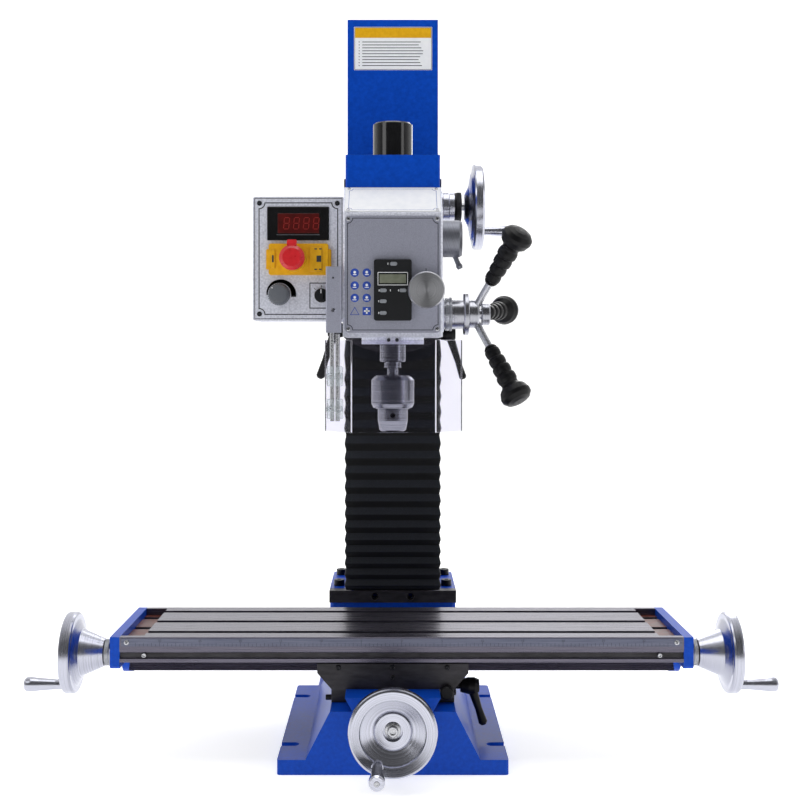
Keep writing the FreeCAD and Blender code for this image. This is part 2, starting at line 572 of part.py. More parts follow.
def z_wheel():
    wheel, (px, py) = wheel_with_pin(Z_WHEEL_R, Z_CRANK_R, 0, 6, Z_WHEEL_DEPTH)
    at = (Z_WHEEL_FACE, Z_SCREW_Y, Z_WHEEL_Z)
    probe = placed(Part.Vertex(px, py, 0), at, LEFT, Z_CRANK_TURN)
    return placed(wheel, at, LEFT, Z_CRANK_TURN), probe.Vertexes[0].Point


def make_z_handle():
    at = z_wheel()[1]
    return placed(crank_handle(), (at.x + 1.0, at.y, at.z), RIGHT)


def make_z_wheel_shaft():
    """The wheel's shaft with its bevel pinion, in mesh with the gear on the Z nut."""
    pinion = placed(bevel_gear(5), (BEVEL_R, Z_SCREW_Y, Z_WHEEL_Z), LEFT, 180 / BEVEL_TEETH)
    collar = rod(14, (BEVEL_R, Z_SCREW_Y, Z_WHEEL_Z), RIGHT, 4)
    bearing = rod(7, (BEVEL_R, Z_SCREW_Y, Z_WHEEL_Z), RIGHT, CARRIAGE_HALF + 14 - BEVEL_R)
    stub = rod(6, (BEVEL_R - BEVEL_FACE, Z_SCREW_Y, Z_WHEEL_Z), RIGHT, Z_WHEEL_FACE - 18.5 - BEVEL_R + BEVEL_FACE)
    return fuse(pinion, collar, bearing, stub)


def make_z_nut():
    top = Z_WHEEL_Z - BEVEL_R
    gear = placed(bevel_gear(Z_SCREW_R + GAP), (0, Z_SCREW_Y, top), UP)
    sleeve = ring(14, Z_SCREW_R + GAP, (0, Z_SCREW_Y, top - 34), UP, 34)
    return fuse(gear, sleeve)


def make_z_lock_lever():
    return clamp_lever((CARRIAGE_HALF + 0.5, Z_LOCK_Y, Z_LOCK_Z), RIGHT, DOWN, 70)


# ---------------------------------------------------------------- head

def head_outline(inset):
    """The head's outline seen along X, drawn in by inset."""
    slope = math.atan2(HEAD_TOP - SLOPE_Z, SLOPE_Y - HEAD_FRONT)
    front = HEAD_FRONT + inset
    top = HEAD_TOP - inset
    shift = inset / math.cos(slope)
    rise = math.tan(slope)
    return [
        (front, HEAD_LOW + inset), (front, SLOPE_Z - shift + rise * inset),
        (SLOPE_Y + (shift - inset) / rise, top), (HEAD_BACK - inset, top), (HEAD_BACK - inset, HEAD_LOW + inset),
    ]


def make_head_casting():
    shell = prism("YZ", head_outline(0), -HEAD_HALF, 2 * HEAD_HALF)
    shell = rounded(shell, 3, UP)
    shell = cut(shell, prism("YZ", head_outline(WALL), -HEAD_HALF + WALL, 2 * (HEAD_HALF - WALL)))
    boss = rod(BOSS_R, (0, SPINDLE_Y, HEAD_LOW), UP, QUILL_TOP + 4 - HEAD_LOW)
    lip = rod(QUILL_R + 3, (0, SPINDLE_Y, HEAD_LOW - 9), UP, 10)
    disc = rod(TILT_DISC_R, (0, HEAD_BACK, TILT_Z), BACK, CARRIAGE_FRONT - HEAD_BACK)
    back_pad = rod(TILT_PIN_R + 14, (0, HEAD_BACK - WALL - 4, TILT_Z), BACK, 5)
    hub_boss = rod(24, (HEAD_HALF - WALL, HUB_Y, HUB_Z), RIGHT, WALL + HUB_START - HEAD_HALF)
    body = fuse(shell, boss, lip, disc, back_pad, hub_boss)
    motor_x, motor_y = MOTOR_AT
    return cut(
        body,
        rod(QUILL_R + RUN, (0, SPINDLE_Y, HEAD_LOW - 20), UP, 180),
        rod(TILT_PIN_R + RUN, (0, HEAD_BACK - 30, TILT_Z), BACK, 60),
        rod(11 + RUN, (-HEAD_HALF + WALL, HUB_Y, HUB_Z), RIGHT, 140),
        rod(18, (-13, HUB_Y, HUB_Z), RIGHT, 26),
        rod(20 + RUN, (0, SPINDLE_Y, HEAD_TOP - 20), UP, 30),
        rod(MOTOR_R + GAP, (motor_x, motor_y, 598), UP, HEAD_TOP - WALL - 598),
        rod(10, (motor_x, motor_y, HEAD_TOP - 20), UP, 30),
        rod(FINE_SHAFT_R + RUN, (FINE_X, HEAD_FRONT - 1, FINE_Z), BACK, 150),
        rod(11, (FINE_X, HUB_Y - 14, FINE_Z), BACK, 28),
        rod(8 + RUN, (HEAD_HALF + 1, RANGE_Y, RANGE_Z), LEFT, 12),
        rod(4 + RUN, (-HEAD_HALF - 1, QUILL_LOCK_Y, QUILL_LOCK_Z), RIGHT, 16),
    )


def make_head_front_plate():
    """A thin aluminium plate on the front of the head, open round the readout and the fine feed."""
    plate = rounded(box(-59.5, 59.5, HEAD_FRONT - 1.2, HEAD_FRONT, 538, 684), 5, BACK)
    return cut(plate, rod(9, (FINE_X, HEAD_FRONT - 3, FINE_Z), BACK, 6))


def make_top_cover():
    outer = box(-COVER_HALF, COVER_HALF, SLOPE_Y, HEAD_BACK - 2, HEAD_TOP, COVER_TOP)
    outer = rounded(outer, 3, UP)
    t = COVER_T
    inner = box(-COVER_HALF + t, COVER_HALF - t, SLOPE_Y + t, HEAD_BACK - 2 - t, HEAD_TOP - 1, COVER_TOP - t)
    return cut(outer, inner, rod(20, (0, SPINDLE_Y, COVER_TOP - 5), UP, 10))


def make_drawbar_cap():
    r = CAP_R
    profile = [(r - 3, COVER_TOP), (r, COVER_TOP), (r, CAP_TOP - 2), (r - 2, CAP_TOP), (0, CAP_TOP),
               (0, CAP_TOP - 3), (r - 3, CAP_TOP - 3)]
    return turned(profile, (0, SPINDLE_Y, 0))


def make_motor():
    x, y = MOTOR_AT
    can = rod(MOTOR_R, (x, y, 600), UP, HEAD_TOP - WALL - 600.5)
    return cut(can, rod(5 + RUN, (x, y, 640), UP, 100))


def make_motor_pulley():
    x, y = MOTOR_AT
    shaft = rod(5, (x, y, 645), UP, PULLEY_HIGH - 645)
    pulley = rod(MOTOR_PULLEY_R, (x, y, PULLEY_LOW), UP, PULLEY_HIGH - PULLEY_LOW)
    rims = [rod(MOTOR_PULLEY_R + 2, (x, y, z), UP, 1.5) for z in (PULLEY_LOW - 1.5, PULLEY_HIGH)]
    return fuse(shaft, pulley, *rims)


def hexagon(r):
    return [(r * math.cos(math.radians(60 * i)), r * math.sin(math.radians(60 * i))) for i in range(6)]


def make_spindle_pulley():
    low = HEAD_TOP - WALL - 8
    sleeve = rod(20, (0, 0, low), UP, PULLEY_LOW - low)
    pulley = rod(SPINDLE_PULLEY_R, (0, 0, PULLEY_LOW), UP, PULLEY_HIGH - PULLEY_LOW)
    rims = [rod(SPINDLE_PULLEY_R + 2, (0, 0, z), UP, 1.5) for z in (PULLEY_LOW - 1.5, PULLEY_HIGH)]
    body = fuse(sleeve, pulley, *rims)
    bore = prism("XY", hexagon(HEX_R + GAP), low - 1, PULLEY_HIGH - low + 4)
    return placed(cut(body, bore), (0, SPINDLE_Y, 0), UP)


def belt_loop(r_big, r_small, low, high):
    """The outline of a belt round the two pulleys as a solid: two discs and the quadrilateral between."""
    dx = MOTOR_AT[0]
    dy = MOTOR_AT[1] - SPINDLE_Y
    distance = math.hypot(dx, dy)
    lean = math.acos((r_big - r_small) / distance)
    base = math.atan2(dy, dx)
    corners = []
    for sign in (1, -1):
        angle = base + sign * lean
        big = (r_big * math.cos(angle), SPINDLE_Y + r_big * math.sin(angle))
        small = (dx + r_small * math.cos(angle), MOTOR_AT[1] + r_small * math.sin(angle))
        corners += [big, small] if sign == 1 else [small, big]
    height = high - low
    return fuse(
        rod(r_big, (0, SPINDLE_Y, low), UP, height),
        rod(r_small, (dx, MOTOR_AT[1], low), UP, height),
        prism("XY", corners, low, height),
    )


def make_drive_belt():
    low, high = PULLEY_LOW + 1, PULLEY_HIGH - 1
    outer = belt_loop(SPINDLE_PULLEY_R + 3, MOTOR_PULLEY_R + 3, low, high)
    inner = belt_loop(SPINDLE_PULLEY_R + GAP, MOTOR_PULLEY_R + GAP, low - 1, high + 1)
    return cut(outer, inner)


def make_depth_readout():
    """The depth readout's case, with the recess of its display."""
    y0 = HEAD_FRONT - 1.2
    case = rounded(box(-23.5, 23.5, y0 - 9, y0, 553, 629), 3, BACK)
    window = box(-19, 19, y0 - 10, y0 - 8, 597, 613)
    return cut(case, window)


def make_control_box():
    """A sheet steel box on the left side of the head, hollow, with its front panel as a step."""
    right = -HEAD_HALF
    outer = rounded(box(BOX_LEFT, right, BOX_FRONT, BOX_BACK, BOX_LOW, BOX_TOP), 3, BACK)
    t = 2.5
    inner = box(BOX_LEFT + t, right - t, BOX_FRONT + t, BOX_BACK - t, BOX_LOW + t, BOX_TOP - t)
    holes = [
        rod(4 + RUN, (SPEED_X, BOX_FRONT - 1, SPEED_Z), BACK, 6),
        rod(4 + RUN, (DIRECTION_X, BOX_FRONT - 1, DIRECTION_Z), BACK, 6),
        rod(8.5, (STOP_X, BOX_FRONT - 1, STOP_Z), BACK, 6),
    ]
    return cut(outer, inner, *holes)


def make_stop_switch_body():
    y0 = BOX_FRONT
    plate = rounded(box(-158, -82, y0 - 8, y0, 612, 652), 3, BACK)
    collar = rod(17, (STOP_X, y0 - 8, STOP_Z), FRONT, 5)
    return cut(fuse(plate, collar), rod(8 + GAP, (STOP_X, y0 - 20, STOP_Z), BACK, 30))


def make_stop_cap():
    head = turned([(0, 0), (14, 0), (16, 2), (16, 9), (12, 13), (0, 14)], (STOP_X, BOX_FRONT - 18, STOP_Z), FRONT)
    stem = rod(8, (STOP_X, BOX_FRONT - 18, STOP_Z), BACK, 20)
    return fuse(head, stem)


def make_speed_knob():
    knob = turned([(0, 0), (14, 0), (13, 12), (11.5, 14), (0, 14)], (SPEED_X, BOX_FRONT - 1.5, SPEED_Z), FRONT)
    return fuse(knob, rod(4, (SPEED_X, BOX_FRONT - 2, SPEED_Z), BACK, 12))


def make_direction_knob():
    at = (DIRECTION_X, BOX_FRONT - 3, DIRECTION_Z)
    knob = turned([(0, 0), (9, 0), (9, 4), (8, 5), (0, 5)], at, FRONT)
    bar = rounded(box(DIRECTION_X - 2.5, DIRECTION_X + 2.5, BOX_FRONT - 15, BOX_FRONT - 7, DIRECTION_Z - 8,
                      DIRECTION_Z + 8), 2, BACK)
    return fuse(knob, bar, rod(4, (DIRECTION_X, BOX_FRONT - 3.5, DIRECTION_Z), BACK, 12))


def make_fine_feed_knob():
    """The steel knob on the head's front, with its shaft and the worm at the shaft's inner end."""
    front = HEAD_FRONT - 3
    knob = turned([(0, 0), (17, 0), (17, 7.8), (22, 9.3), (23, 10.8), (23, 20), (21.5, 22), (0, 22)], (FINE_X, front, FINE_Z), FRONT)
    shaft = rod(FINE_SHAFT_R, (FINE_X, front - 1, FINE_Z), BACK, HUB_Y + 12 - front)
    worm = turned([(0, -11), (7, -11)] + [
        (r, -11 + 3.14 * i + z) for i in range(7) for z, r in ((0.4, 7), (1.2, 9), (1.9, 9), (2.7, 7))
    ] + [(7, 11), (0, 11)], (FINE_X, HUB_Y, FINE_Z), BACK)
    return fuse(knob, shaft, worm)


def make_range_knob():
    at = (HEAD_HALF + 1, RANGE_Y, RANGE_Z)
    knob = turned([(0, 0), (22, 0), (25, 3), (25, 26), (23, 30), (0, 30)], at, RIGHT)
    shaft = rod(8, (HEAD_HALF + 2, RANGE_Y, RANGE_Z), LEFT, 9)
    lever = turned([(0, 0), (3.4, 0), (3.4, 10), (4.5, 14), (3.4, 18), (0, 18)],
                   (HEAD_HALF + 22, RANGE_Y, RANGE_Z - 24), (0.4, 0, -0.9165))
    return fuse(knob, shaft, lever)


def make_quill_lock_lever():
    return clamp_lever((-HEAD_HALF - 0.5, QUILL_LOCK_Y, QUILL_LOCK_Z), LEFT, (0, 0.25, -0.968), 70)


# ---------------------------------------------------------------- quill feed

def hub_point(radius, angle, x):
    """A point at a radius from the hub's axis: angle 0 points to the back, 90 up."""
    return V(x, HUB_Y + radius * math.cos(math.radians(angle)), HUB_Z + radius * math.sin(math.radians(angle)))


def spoke_line(angle):
    """Where a spoke starts, which way it leans, and how long it is to the grip's end."""
    start = hub_point(0, angle, SPOKE_FROM)
    end = hub_point(SPOKE_REACH, angle, SPOKE_TO)
    way = end - start
    return start, way.normalize(), (end - start).Length


def make_quill_hub():
    profile = [
        (0, -26), (11, -26), (11, HUB_START + 0.5), (20, HUB_START + 0.5), (20, 96), (28, 96), (28.5, 97.5),
        (28.5, 102), (27, 103), (19, 104), (19, 114), (17, 117), (7, 117), (7, 120), (14, 120), (15, 121.5),
        (15, 130), (13, 132), (0, 132),
    ]
    body = turned(profile, (0, HUB_Y, HUB_Z), RIGHT)
    pinion_space = ring(30, 0.1, (-12, HUB_Y, HUB_Z), RIGHT, 24)
    outline = gear_outline(PINION_TEETH, MODULE)
    # tooth 0 is set half a pitch from the rack, so that the rack's tooth stands in a gap
    turn = 180 / PINION_TEETH
    pinion = placed(prism("XY", outline, 0, 24), (-12, HUB_Y, HUB_Z), RIGHT, turn + 90)
    body = fuse(cut(body, pinion_space), pinion)
    for angle in SPOKE_ANGLES:
        start, way, length = spoke_line(angle)
        body = cut(body, Part.makeCylinder(5 + RUN, length, start + way * 8, way))
    return body


def make_hub_rods():
    shapes = []
    for angle in SPOKE_ANGLES:
        start, way, length = spoke_line(angle)
        shapes.append(Part.makeCylinder(5, length - 24.5, start + way * 9, way))
    return group(shapes)


def make_hub_grips():
    """Waved grips that end in a mushroom, each a separate moulding screwed on its rod."""
    shapes = []
    grip = [(5 + RUN, 0), (7, 0), (9, 3)]
    for i, r in enumerate((10.5, 11.5, 12.5, 13.5)):
        middle = 10 + 13.5 * i
        grip += [(r - 2.6, middle - 6), (r - 0.3, middle - 3.5), (r, middle), (r - 0.3, middle + 3.5)]
    grip += [(11.5, 58), (12, 62), (18, 68), (21, 76), (20.5, 81), (16, 86), (9, 88.5), (0, 89), (0, 74), (5 + RUN, 74)]
    for angle in SPOKE_ANGLES:
        start, way, length = spoke_line(angle)
        shapes.append(placed(turned(grip), tuple(start + way * (length - 89)), tuple(way)))
    return group(shapes)


def make_quill():
    body = ring(QUILL_R, 28, (0, SPINDLE_Y, QUILL_LOW), UP, QUILL_TOP - QUILL_LOW)
    pitch = math.pi * MODULE
    line = SPINDLE_Y + QUILL_R - MODULE
    # the rack's teeth stand between trapezoid gaps; a tooth is level with the pinion's axis
    for i in range(-2, 10):
        z = HUB_Z + (i + 0.5) * pitch
        tip, root = 0.5 * pitch * 1.24 / 2 + 0.36 * MODULE, 0.5 * pitch * 1.24 / 2 - 0.45 * MODULE
        gap = [(line + 3 * MODULE, z - tip - 0.73 * MODULE), (line + 3 * MODULE, z + tip + 0.73 * MODULE),
               (line - 1.25 * MODULE, z + root), (line - 1.25 * MODULE, z - root)]
        body = body.cut(prism("YZ", gap, -13, 26))
    return body


def make_quill_bearings():
    """Two bearings, each an inner and an outer ring with its row of balls."""
    shapes = []
    for z in (QUILL_LOW + 6, QUILL_TOP - 22):
        shapes.append(ring(28, 24, (0, SPINDLE_Y, z), UP, 14))
        for i in range(10):
            angle = math.radians(36 * i)
            at = V(21.6 * math.cos(angle), SPINDLE_Y + 21.6 * math.sin(angle), z + 7)
            shapes.append(Part.makeSphere(2.35, at))
    return group(shapes)


def make_spindle():
    """The spindle: nose below, bearing journals in the quill, hexagonal drive above."""
    nose = 501.0
    body = turned([
        (0, nose), (16, nose), (17, nose + 1), (17, QUILL_LOW - 2), (19, QUILL_LOW - 1), (19, QUILL_TOP - 4),
        (14, QUILL_TOP + 2), (0, QUILL_TOP + 2),
    ], (0, SPINDLE_Y, 0))
    drive = placed(prism("XY", hexagon(HEX_R), QUILL_TOP, 804 - QUILL_TOP), (0, SPINDLE_Y, 0), UP)
    taper = turned([(0, nose - 1), (8.9, nose - 1), (6.5, nose + 65), (0, nose + 65)], (0, SPINDLE_Y, 0))
    return cut(fuse(body, drive), taper)


def make_chuck_body():
    """The chuck's arbor, collar and body, with the nose below the sleeve."""
    profile = [
        (0, 566), (6.3, 566), (8.7, 501), (8.7, 500), (11, 500), (11, 493), (7.2, 492), (7.2, 484),
        (12, 483), (22, 483), (22, 439), (19.8, 439), (19.8, 424), (17.5, 411.5), (16, 410), (10.5, 410),
        (10.5, 440), (0, 440),
    ]
    body = turned(profile, (0, SPINDLE_Y, 0))
    return cut(body, rod(3.2, (0, SPINDLE_Y - 30, 431), BACK, 60), *[
        prism("XY", [(-3.2, 6), (3.2, 6), (3.2, 13.5), (-3.2, 13.5)], 409, 20).rotate(V(0, 0, 0), V(0, 0, 1), a)
        .translate(V(0, SPINDLE_Y, 0)) for a in (0, 120, 240)
    ])


def make_chuck_jaws():
    shapes = []
    for a in (0, 120, 240):
        jaw = prism("XY", [(-3, 2), (3, 2), (3, 10.2), (-3, 10.2)], 411.5, 26)
        shapes.append(jaw.rotate(V(0, 0, 0), V(0, 0, 1), a).translate(V(0, SPINDLE_Y, 0)))
    return group(shapes)


def make_chuck_sleeve():
    profile = [(22 + GAP, 481.5), (24, 481.5), (28.2, 477), (28.2, 446), (25.5, 440.6), (22 + GAP, 440.6)]
    return turned(profile, (0, SPINDLE_Y, 0))


# ---------------------------------------------------------------- guard

def make_guard_bracket():
    """The bar on the head's left front edge that carries the guard's pivot."""
    bar = rounded(box(-83, -64, -206, -193, 538, 620), 1.5, UP)
    pivot = rod(GUARD_ROD_R + RUN, (*GUARD_PIVOT, 530), UP, 40)
    return cut(bar, pivot, rod(2.6, (-74, -210, 566), BACK, 20))


def make_guard_rods():
    x, y = GUARD_PIVOT
    pivot = rod(GUARD_ROD_R, (x, y, 428), UP, 570 - 428)
    guide = rod(GUARD_ROD_R, (x + GUARD_ROD_GAP, y, 428), UP, 536.5 - 428)
    return group([pivot, guide])


def make_guard_screen():
    """A bent clear sheet: a flat middle and two wings that lean back."""
    y = -204.0
    outer = [(-86, y + 33), (-52, y), (54, y), (88, y + 33)]
    t = GUARD_T
    inner = [(86.0, y + 35.2), (52.8, y + t), (-50.8, y + t), (-84.0, y + 35.2)]
    sheet = prism("XY", outer + inner, GUARD_LOW, GUARD_TOP - GUARD_LOW)
    return sheet


NODES = {
    "base": make_base,
    "y_screw_bracket": make_y_screw_bracket,
    "column": make_column,
    "column_bolts": make_column_bolts,
    "z_screw_brackets": make_z_screw_brackets,
    "z_screw": make_z_screw,
    "bellows": make_bellows,
    "saddle": make_saddle,
    "saddle_gibs": make_saddle_gibs,
    "gib_screws": make_gib_screws,
    "feed_nuts": make_feed_nuts,
    "saddle_lock_lever": make_saddle_lock_lever,
    "table_lock_knob": make_table_lock_knob,
    "table": make_table,
    "table_end_brackets": make_table_end_brackets,
    "x_screw": make_x_screw,
    "x_handwheels": make_x_handwheels,
    "x_handle_left": lambda: make_x_handle(-1),
    "x_handle_right": lambda: make_x_handle(1),
    "y_screw": make_y_screw,
    "y_handwheel": lambda: y_wheel()[0],
    "y_handle": make_y_handle,
    "z_carriage": make_z_carriage,
    "z_gib": make_z_gib,
    "column_cover": make_column_cover,
    "z_dial_housing": make_z_dial_housing,
    "z_wheel_shaft": make_z_wheel_shaft,
    "z_handwheel": lambda: z_wheel()[0],
    "z_handle": make_z_handle,
    "z_nut": make_z_nut,
    "z_lock_lever": make_z_lock_lever,
    "head_casting": make_head_casting,
    "head_front_plate": make_head_front_plate,
    "top_cover": make_top_cover,
    "drawbar_cap": make_drawbar_cap,
    "motor": make_motor,
    "motor_pulley": make_motor_pulley,
    "spindle_pulley": make_spindle_pulley,
    "drive_belt": make_drive_belt,
    "depth_readout": make_depth_readout,
    "control_box": make_control_box,
    "stop_switch_body": make_stop_switch_body,
    "stop_cap": make_stop_cap,
    "speed_knob": make_speed_knob,
    "direction_knob": make_direction_knob,
    "fine_feed_knob": make_fine_feed_knob,
    "range_knob": make_range_knob,
    "quill_lock_lever": make_quill_lock_lever,
    "quill_hub": make_quill_hub,
    "hub_rods": make_hub_rods,
    "hub_grips": make_hub_grips,
    "quill": make_quill,
    "quill_bearings": make_quill_bearings,
    "spindle": make_spindle,
    "chuck_body": make_chuck_body,
    "chuck_jaws": make_chuck_jaws,
    "chuck_sleeve": make_chuck_sleeve,
    "guard_bracket": make_guard_bracket,
    "guard_rods": make_guard_rods,
    "guard_screen": make_guard_screen,
}


def main():
    os.makedirs("parts", exist_ok=True)
    for name, make in NODES.items():
        shape = make()
        assert shape.isValid(), name
        shape.exportStep(f"parts/{name}.step")
        print(f"{name}: {len(shape.Solids)} solids, {shape.Volume / 1000:.1f} cm3")


main()
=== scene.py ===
# %% [markdown]
# # A benchtop milling machine
# The machine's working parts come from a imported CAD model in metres. This lesson gives each part the
# finish of the real one and adds what is too fine for CAD: dials, scales, plates, screws and keys.
# Loading comes first, because places below start from the CAD boxes wherever a box gives them. The rest
# are written in millimetres.

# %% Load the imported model
import bpy, bmesh, math
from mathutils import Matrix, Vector, noise


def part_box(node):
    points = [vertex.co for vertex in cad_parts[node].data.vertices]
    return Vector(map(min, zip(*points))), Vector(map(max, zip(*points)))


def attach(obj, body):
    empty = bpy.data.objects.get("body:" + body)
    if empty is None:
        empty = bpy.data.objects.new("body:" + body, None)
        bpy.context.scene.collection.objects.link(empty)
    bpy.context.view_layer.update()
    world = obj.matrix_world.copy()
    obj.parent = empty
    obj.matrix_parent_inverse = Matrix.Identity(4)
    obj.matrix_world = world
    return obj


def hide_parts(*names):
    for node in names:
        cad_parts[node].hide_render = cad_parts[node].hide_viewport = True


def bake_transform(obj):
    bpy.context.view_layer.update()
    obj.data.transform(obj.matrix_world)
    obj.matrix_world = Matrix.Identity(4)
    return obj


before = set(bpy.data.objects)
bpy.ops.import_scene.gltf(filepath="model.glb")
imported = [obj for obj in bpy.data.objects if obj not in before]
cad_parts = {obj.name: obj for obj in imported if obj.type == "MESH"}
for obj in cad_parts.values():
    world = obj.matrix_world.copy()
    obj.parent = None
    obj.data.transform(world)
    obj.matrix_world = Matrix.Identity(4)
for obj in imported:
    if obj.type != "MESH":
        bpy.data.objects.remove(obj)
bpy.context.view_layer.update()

MM = 0.001

# %% [markdown]
# ## Helpers
# Colours are written as sRGB hex, as a paint chart gives them, and shaders want linear light, so one
# function converts. One more adds a shader node with its settings and links. The mesh helpers build
# in place, in world coordinates, so that a piece needs no moving and its texture scale is in metres.

# %% Colour and node helpers
def linear(code):
    parts = [int(code[i:i + 2], 16) / 255 for i in (1, 3, 5)]
    return tuple(c / 12.92 if c <= 0.04045 else ((c + 0.055) / 1.055) ** 2.4 for c in parts) + (1.0,)


def add(tree, kind, links=None, **settings):
    """Adds a shader node. Settings are its properties, or its sockets by name; links are (socket, source)."""
    n = tree.nodes.new(kind)
    for key, value in settings.items():
        if hasattr(n, key):
            setattr(n, key, value)
        else:
            n.inputs[key.replace("_", " ")].default_value = value
    for socket, source in (links or {}).items():
        tree.links.new(source, n.inputs[socket])
    return n


def finish(name, colour, roughness, metallic=0.0, **sockets):
    """A new material whose shader starts from a finish's typical values."""
    m = bpy.data.materials.new(name)
    m.use_nodes = True
    m.node_tree.nodes.clear()
    shader = add(m.node_tree, "ShaderNodeBsdfPrincipled", Base_Color=linear(colour), Roughness=roughness,
                 Metallic=metallic)
    for key, value in sockets.items():
        shader.inputs[key.replace("_", " ")].default_value = value
    add(m.node_tree, "ShaderNodeOutputMaterial", {"Surface": shader.outputs["BSDF"]})
    return m, m.node_tree, shader


def per_mm(size):
    """The scale that makes a texture feature this many millimetres across."""
    return 1000.0 / size


EDGE_ROUND = 0.6 * MM      # how far a broken edge is rounded when light falls on it
GRAIN_DEPTH = 0.2 * MM     # how deep the grain's relief may go


def textured(m, colours, grain_mm, bump, rough, stretch=(1, 1, 1), detail=4.0, wear=None):
    """Varies a finish: colour, roughness and relief all follow one grain, and edges may be worn."""
    tree = m.node_tree
    shader = next(n for n in tree.nodes if n.type == "BSDF_PRINCIPLED")
    where = add(tree, "ShaderNodeTexCoord")
    sized = add(tree, "ShaderNodeMapping", {"Vector": where.outputs["Object"]})
    sized.inputs["Scale"].default_value = stretch
    grain = add(tree, "ShaderNodeTexNoise", {"Vector": sized.outputs["Vector"]}, Scale=per_mm(grain_mm),
                Detail=detail)
    tint = add(tree, "ShaderNodeValToRGB", {"Fac": grain.outputs["Fac"]})
    tint.color_ramp.elements[0].position = 0.3
    tint.color_ramp.elements[1].position = 0.7
    tint.color_ramp.elements[0].color = linear(colours[0])
    tint.color_ramp.elements[1].color = linear(colours[1])
    colour = tint.outputs["Color"]
    rounded = add(tree, "ShaderNodeBevel", samples=4, Radius=EDGE_ROUND)
    if wear:
        flat = add(tree, "ShaderNodeNewGeometry")
        turn = add(tree, "ShaderNodeVectorMath", operation="DOT_PRODUCT")
        tree.links.new(rounded.outputs["Normal"], turn.inputs[0])
        tree.links.new(flat.outputs["Normal"], turn.inputs[1])
        mask = add(tree, "ShaderNodeMapRange", {"Value": turn.outputs["Value"]}, From_Min=0.97,
                   From_Max=0.75)
        worn = add(tree, "ShaderNodeMix", {"Factor": mask.outputs["Result"]}, data_type="RGBA")
        tree.links.new(colour, worn.inputs[6])
        worn.inputs[7].default_value = linear(wear)
        colour = worn.outputs[2]
    tree.links.new(colour, shader.inputs["Base Color"])
    spread = add(tree, "ShaderNodeMapRange", {"Value": grain.outputs["Fac"]}, To_Min=rough[0],
                 To_Max=rough[1])
    tree.links.new(spread.outputs["Result"], shader.inputs["Roughness"])
    relief = add(tree, "ShaderNodeBump", {"Height": grain.outputs["Fac"]}, Strength=bump,
                 Distance=GRAIN_DEPTH)
    tree.links.new(rounded.outputs["Normal"], relief.inputs["Normal"])
    tree.links.new(relief.outputs["Normal"], shader.inputs["Normal"])


print("mid grey", round(linear("#808080")[0], 3), "in linear light")

# %% Mesh helpers
SHARP = 35                 # degrees; a sharper edge than this keeps its crease


def piece(name, bm, material, body):
    """Turns a bmesh into a smooth-shaded piece that rides on a body."""
    mesh = bpy.data.meshes.new(name)
    bmesh.ops.recalc_face_normals(bm, faces=bm.faces)
    bm.to_mesh(mesh)
    bm.free()
    for face in mesh.polygons:
        face.use_smooth = True
    obj = bpy.data.objects.new(name, mesh)
    bpy.context.scene.collection.objects.link(obj)
    mesh.materials.append(material)
    mesh.set_sharp_from_angle(angle=math.radians(SHARP))
    if body:
        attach(obj, body)
    return obj


def block(bm, low, high, round_mm=0.3):
    """Adds a box with rounded edges to a bmesh."""
    size = [h - l for l, h in zip(low, high)]
    centre = [(l + h) / 2 for l, h in zip(low, high)]
    made = bmesh.ops.create_cube(bm, size=1.0)["verts"]
    bmesh.ops.scale(bm, vec=size, verts=made)
    bmesh.ops.translate(bm, vec=centre, verts=made)
    if round_mm:
        edges = list({e for v in made for e in v.link_edges})
        bmesh.ops.bevel(bm, geom=edges, offset=min(round_mm * MM, min(size) * 0.45), segments=2,
                        affect="EDGES")


def lathe(bm, profile_mm, origin, axis, steps=64):
    """Adds a turned part: (radius, height) corners in millimetres, spun about axis from origin."""
    aim = Vector((0, 0, 1)).rotation_difference(Vector(axis)).to_matrix()
    rings = []
    for i in range(steps):
        a = 2 * math.pi * i / steps
        corners = [Vector((r * MM * math.cos(a), r * MM * math.sin(a), h * MM)) for r, h in profile_mm]
        rings.append([bm.verts.new(aim @ corner + Vector(origin)) for corner in corners])
    count = len(profile_mm)
    for i in range(steps):
        for j in range(count - 1):
            bm.faces.new((rings[i - 1][j], rings[i][j], rings[i][j + 1], rings[i - 1][j + 1]))
    bmesh.ops.remove_doubles(bm, verts=[v for ring in rings for v in ring], dist=1e-6)


def screw_head(bm, at, axis, r=2.6, h=1.4, domed=True):
    """Adds a small domed screw head with a sunk middle, or a cap screw with a round recess."""
    if domed:
        profile = [(r, 0), (r, h * 0.35), (r * 0.8, h * 0.8), (r * 0.5, h), (r * 0.42, h), (r * 0.1, h * 0.3),
                   (0, h * 0.3)]
        lathe(bm, profile, at, axis, 8)
    else:
        profile = [(r, 0), (r, h * 0.85), (r * 0.88, h), (r * 0.56, h), (r * 0.52, h * 0.45), (0, h * 0.45)]
        lathe(bm, profile, at, axis, 24)


# %% [markdown]
# ## Camera, floor and light
# A catalogue picture is taken level, from far enough that verticals stay upright. Shift moves the
# picture instead of tilting the camera, which would make the column lean. Big soft lights give the
# long pale reflections by which metal is read. The backdrop is a sweep of white paper that glows a
# little, so that it stays white behind the machine. The room behind the camera is dim, so that polished
# steel has something dark to mirror and keeps its contrast.

# %% Camera
CAMERA_AT = (-0.0005, -1.755, 0.518)
LENS, SHIFT_X, SHIFT_Y = 56.3, 0.0095, -0.064
camera = bpy.data.objects.new("camera", bpy.data.cameras.new("camera"))
bpy.context.scene.collection.objects.link(camera)
camera.location = CAMERA_AT
camera.rotation_euler = (math.radians(90), 0, 0)
camera.data.lens = LENS
camera.data.shift_x, camera.data.shift_y = SHIFT_X, SHIFT_Y
bpy.context.scene.camera = camera
print("camera", -CAMERA_AT[1], "m in front with a", LENS, "mm lens")

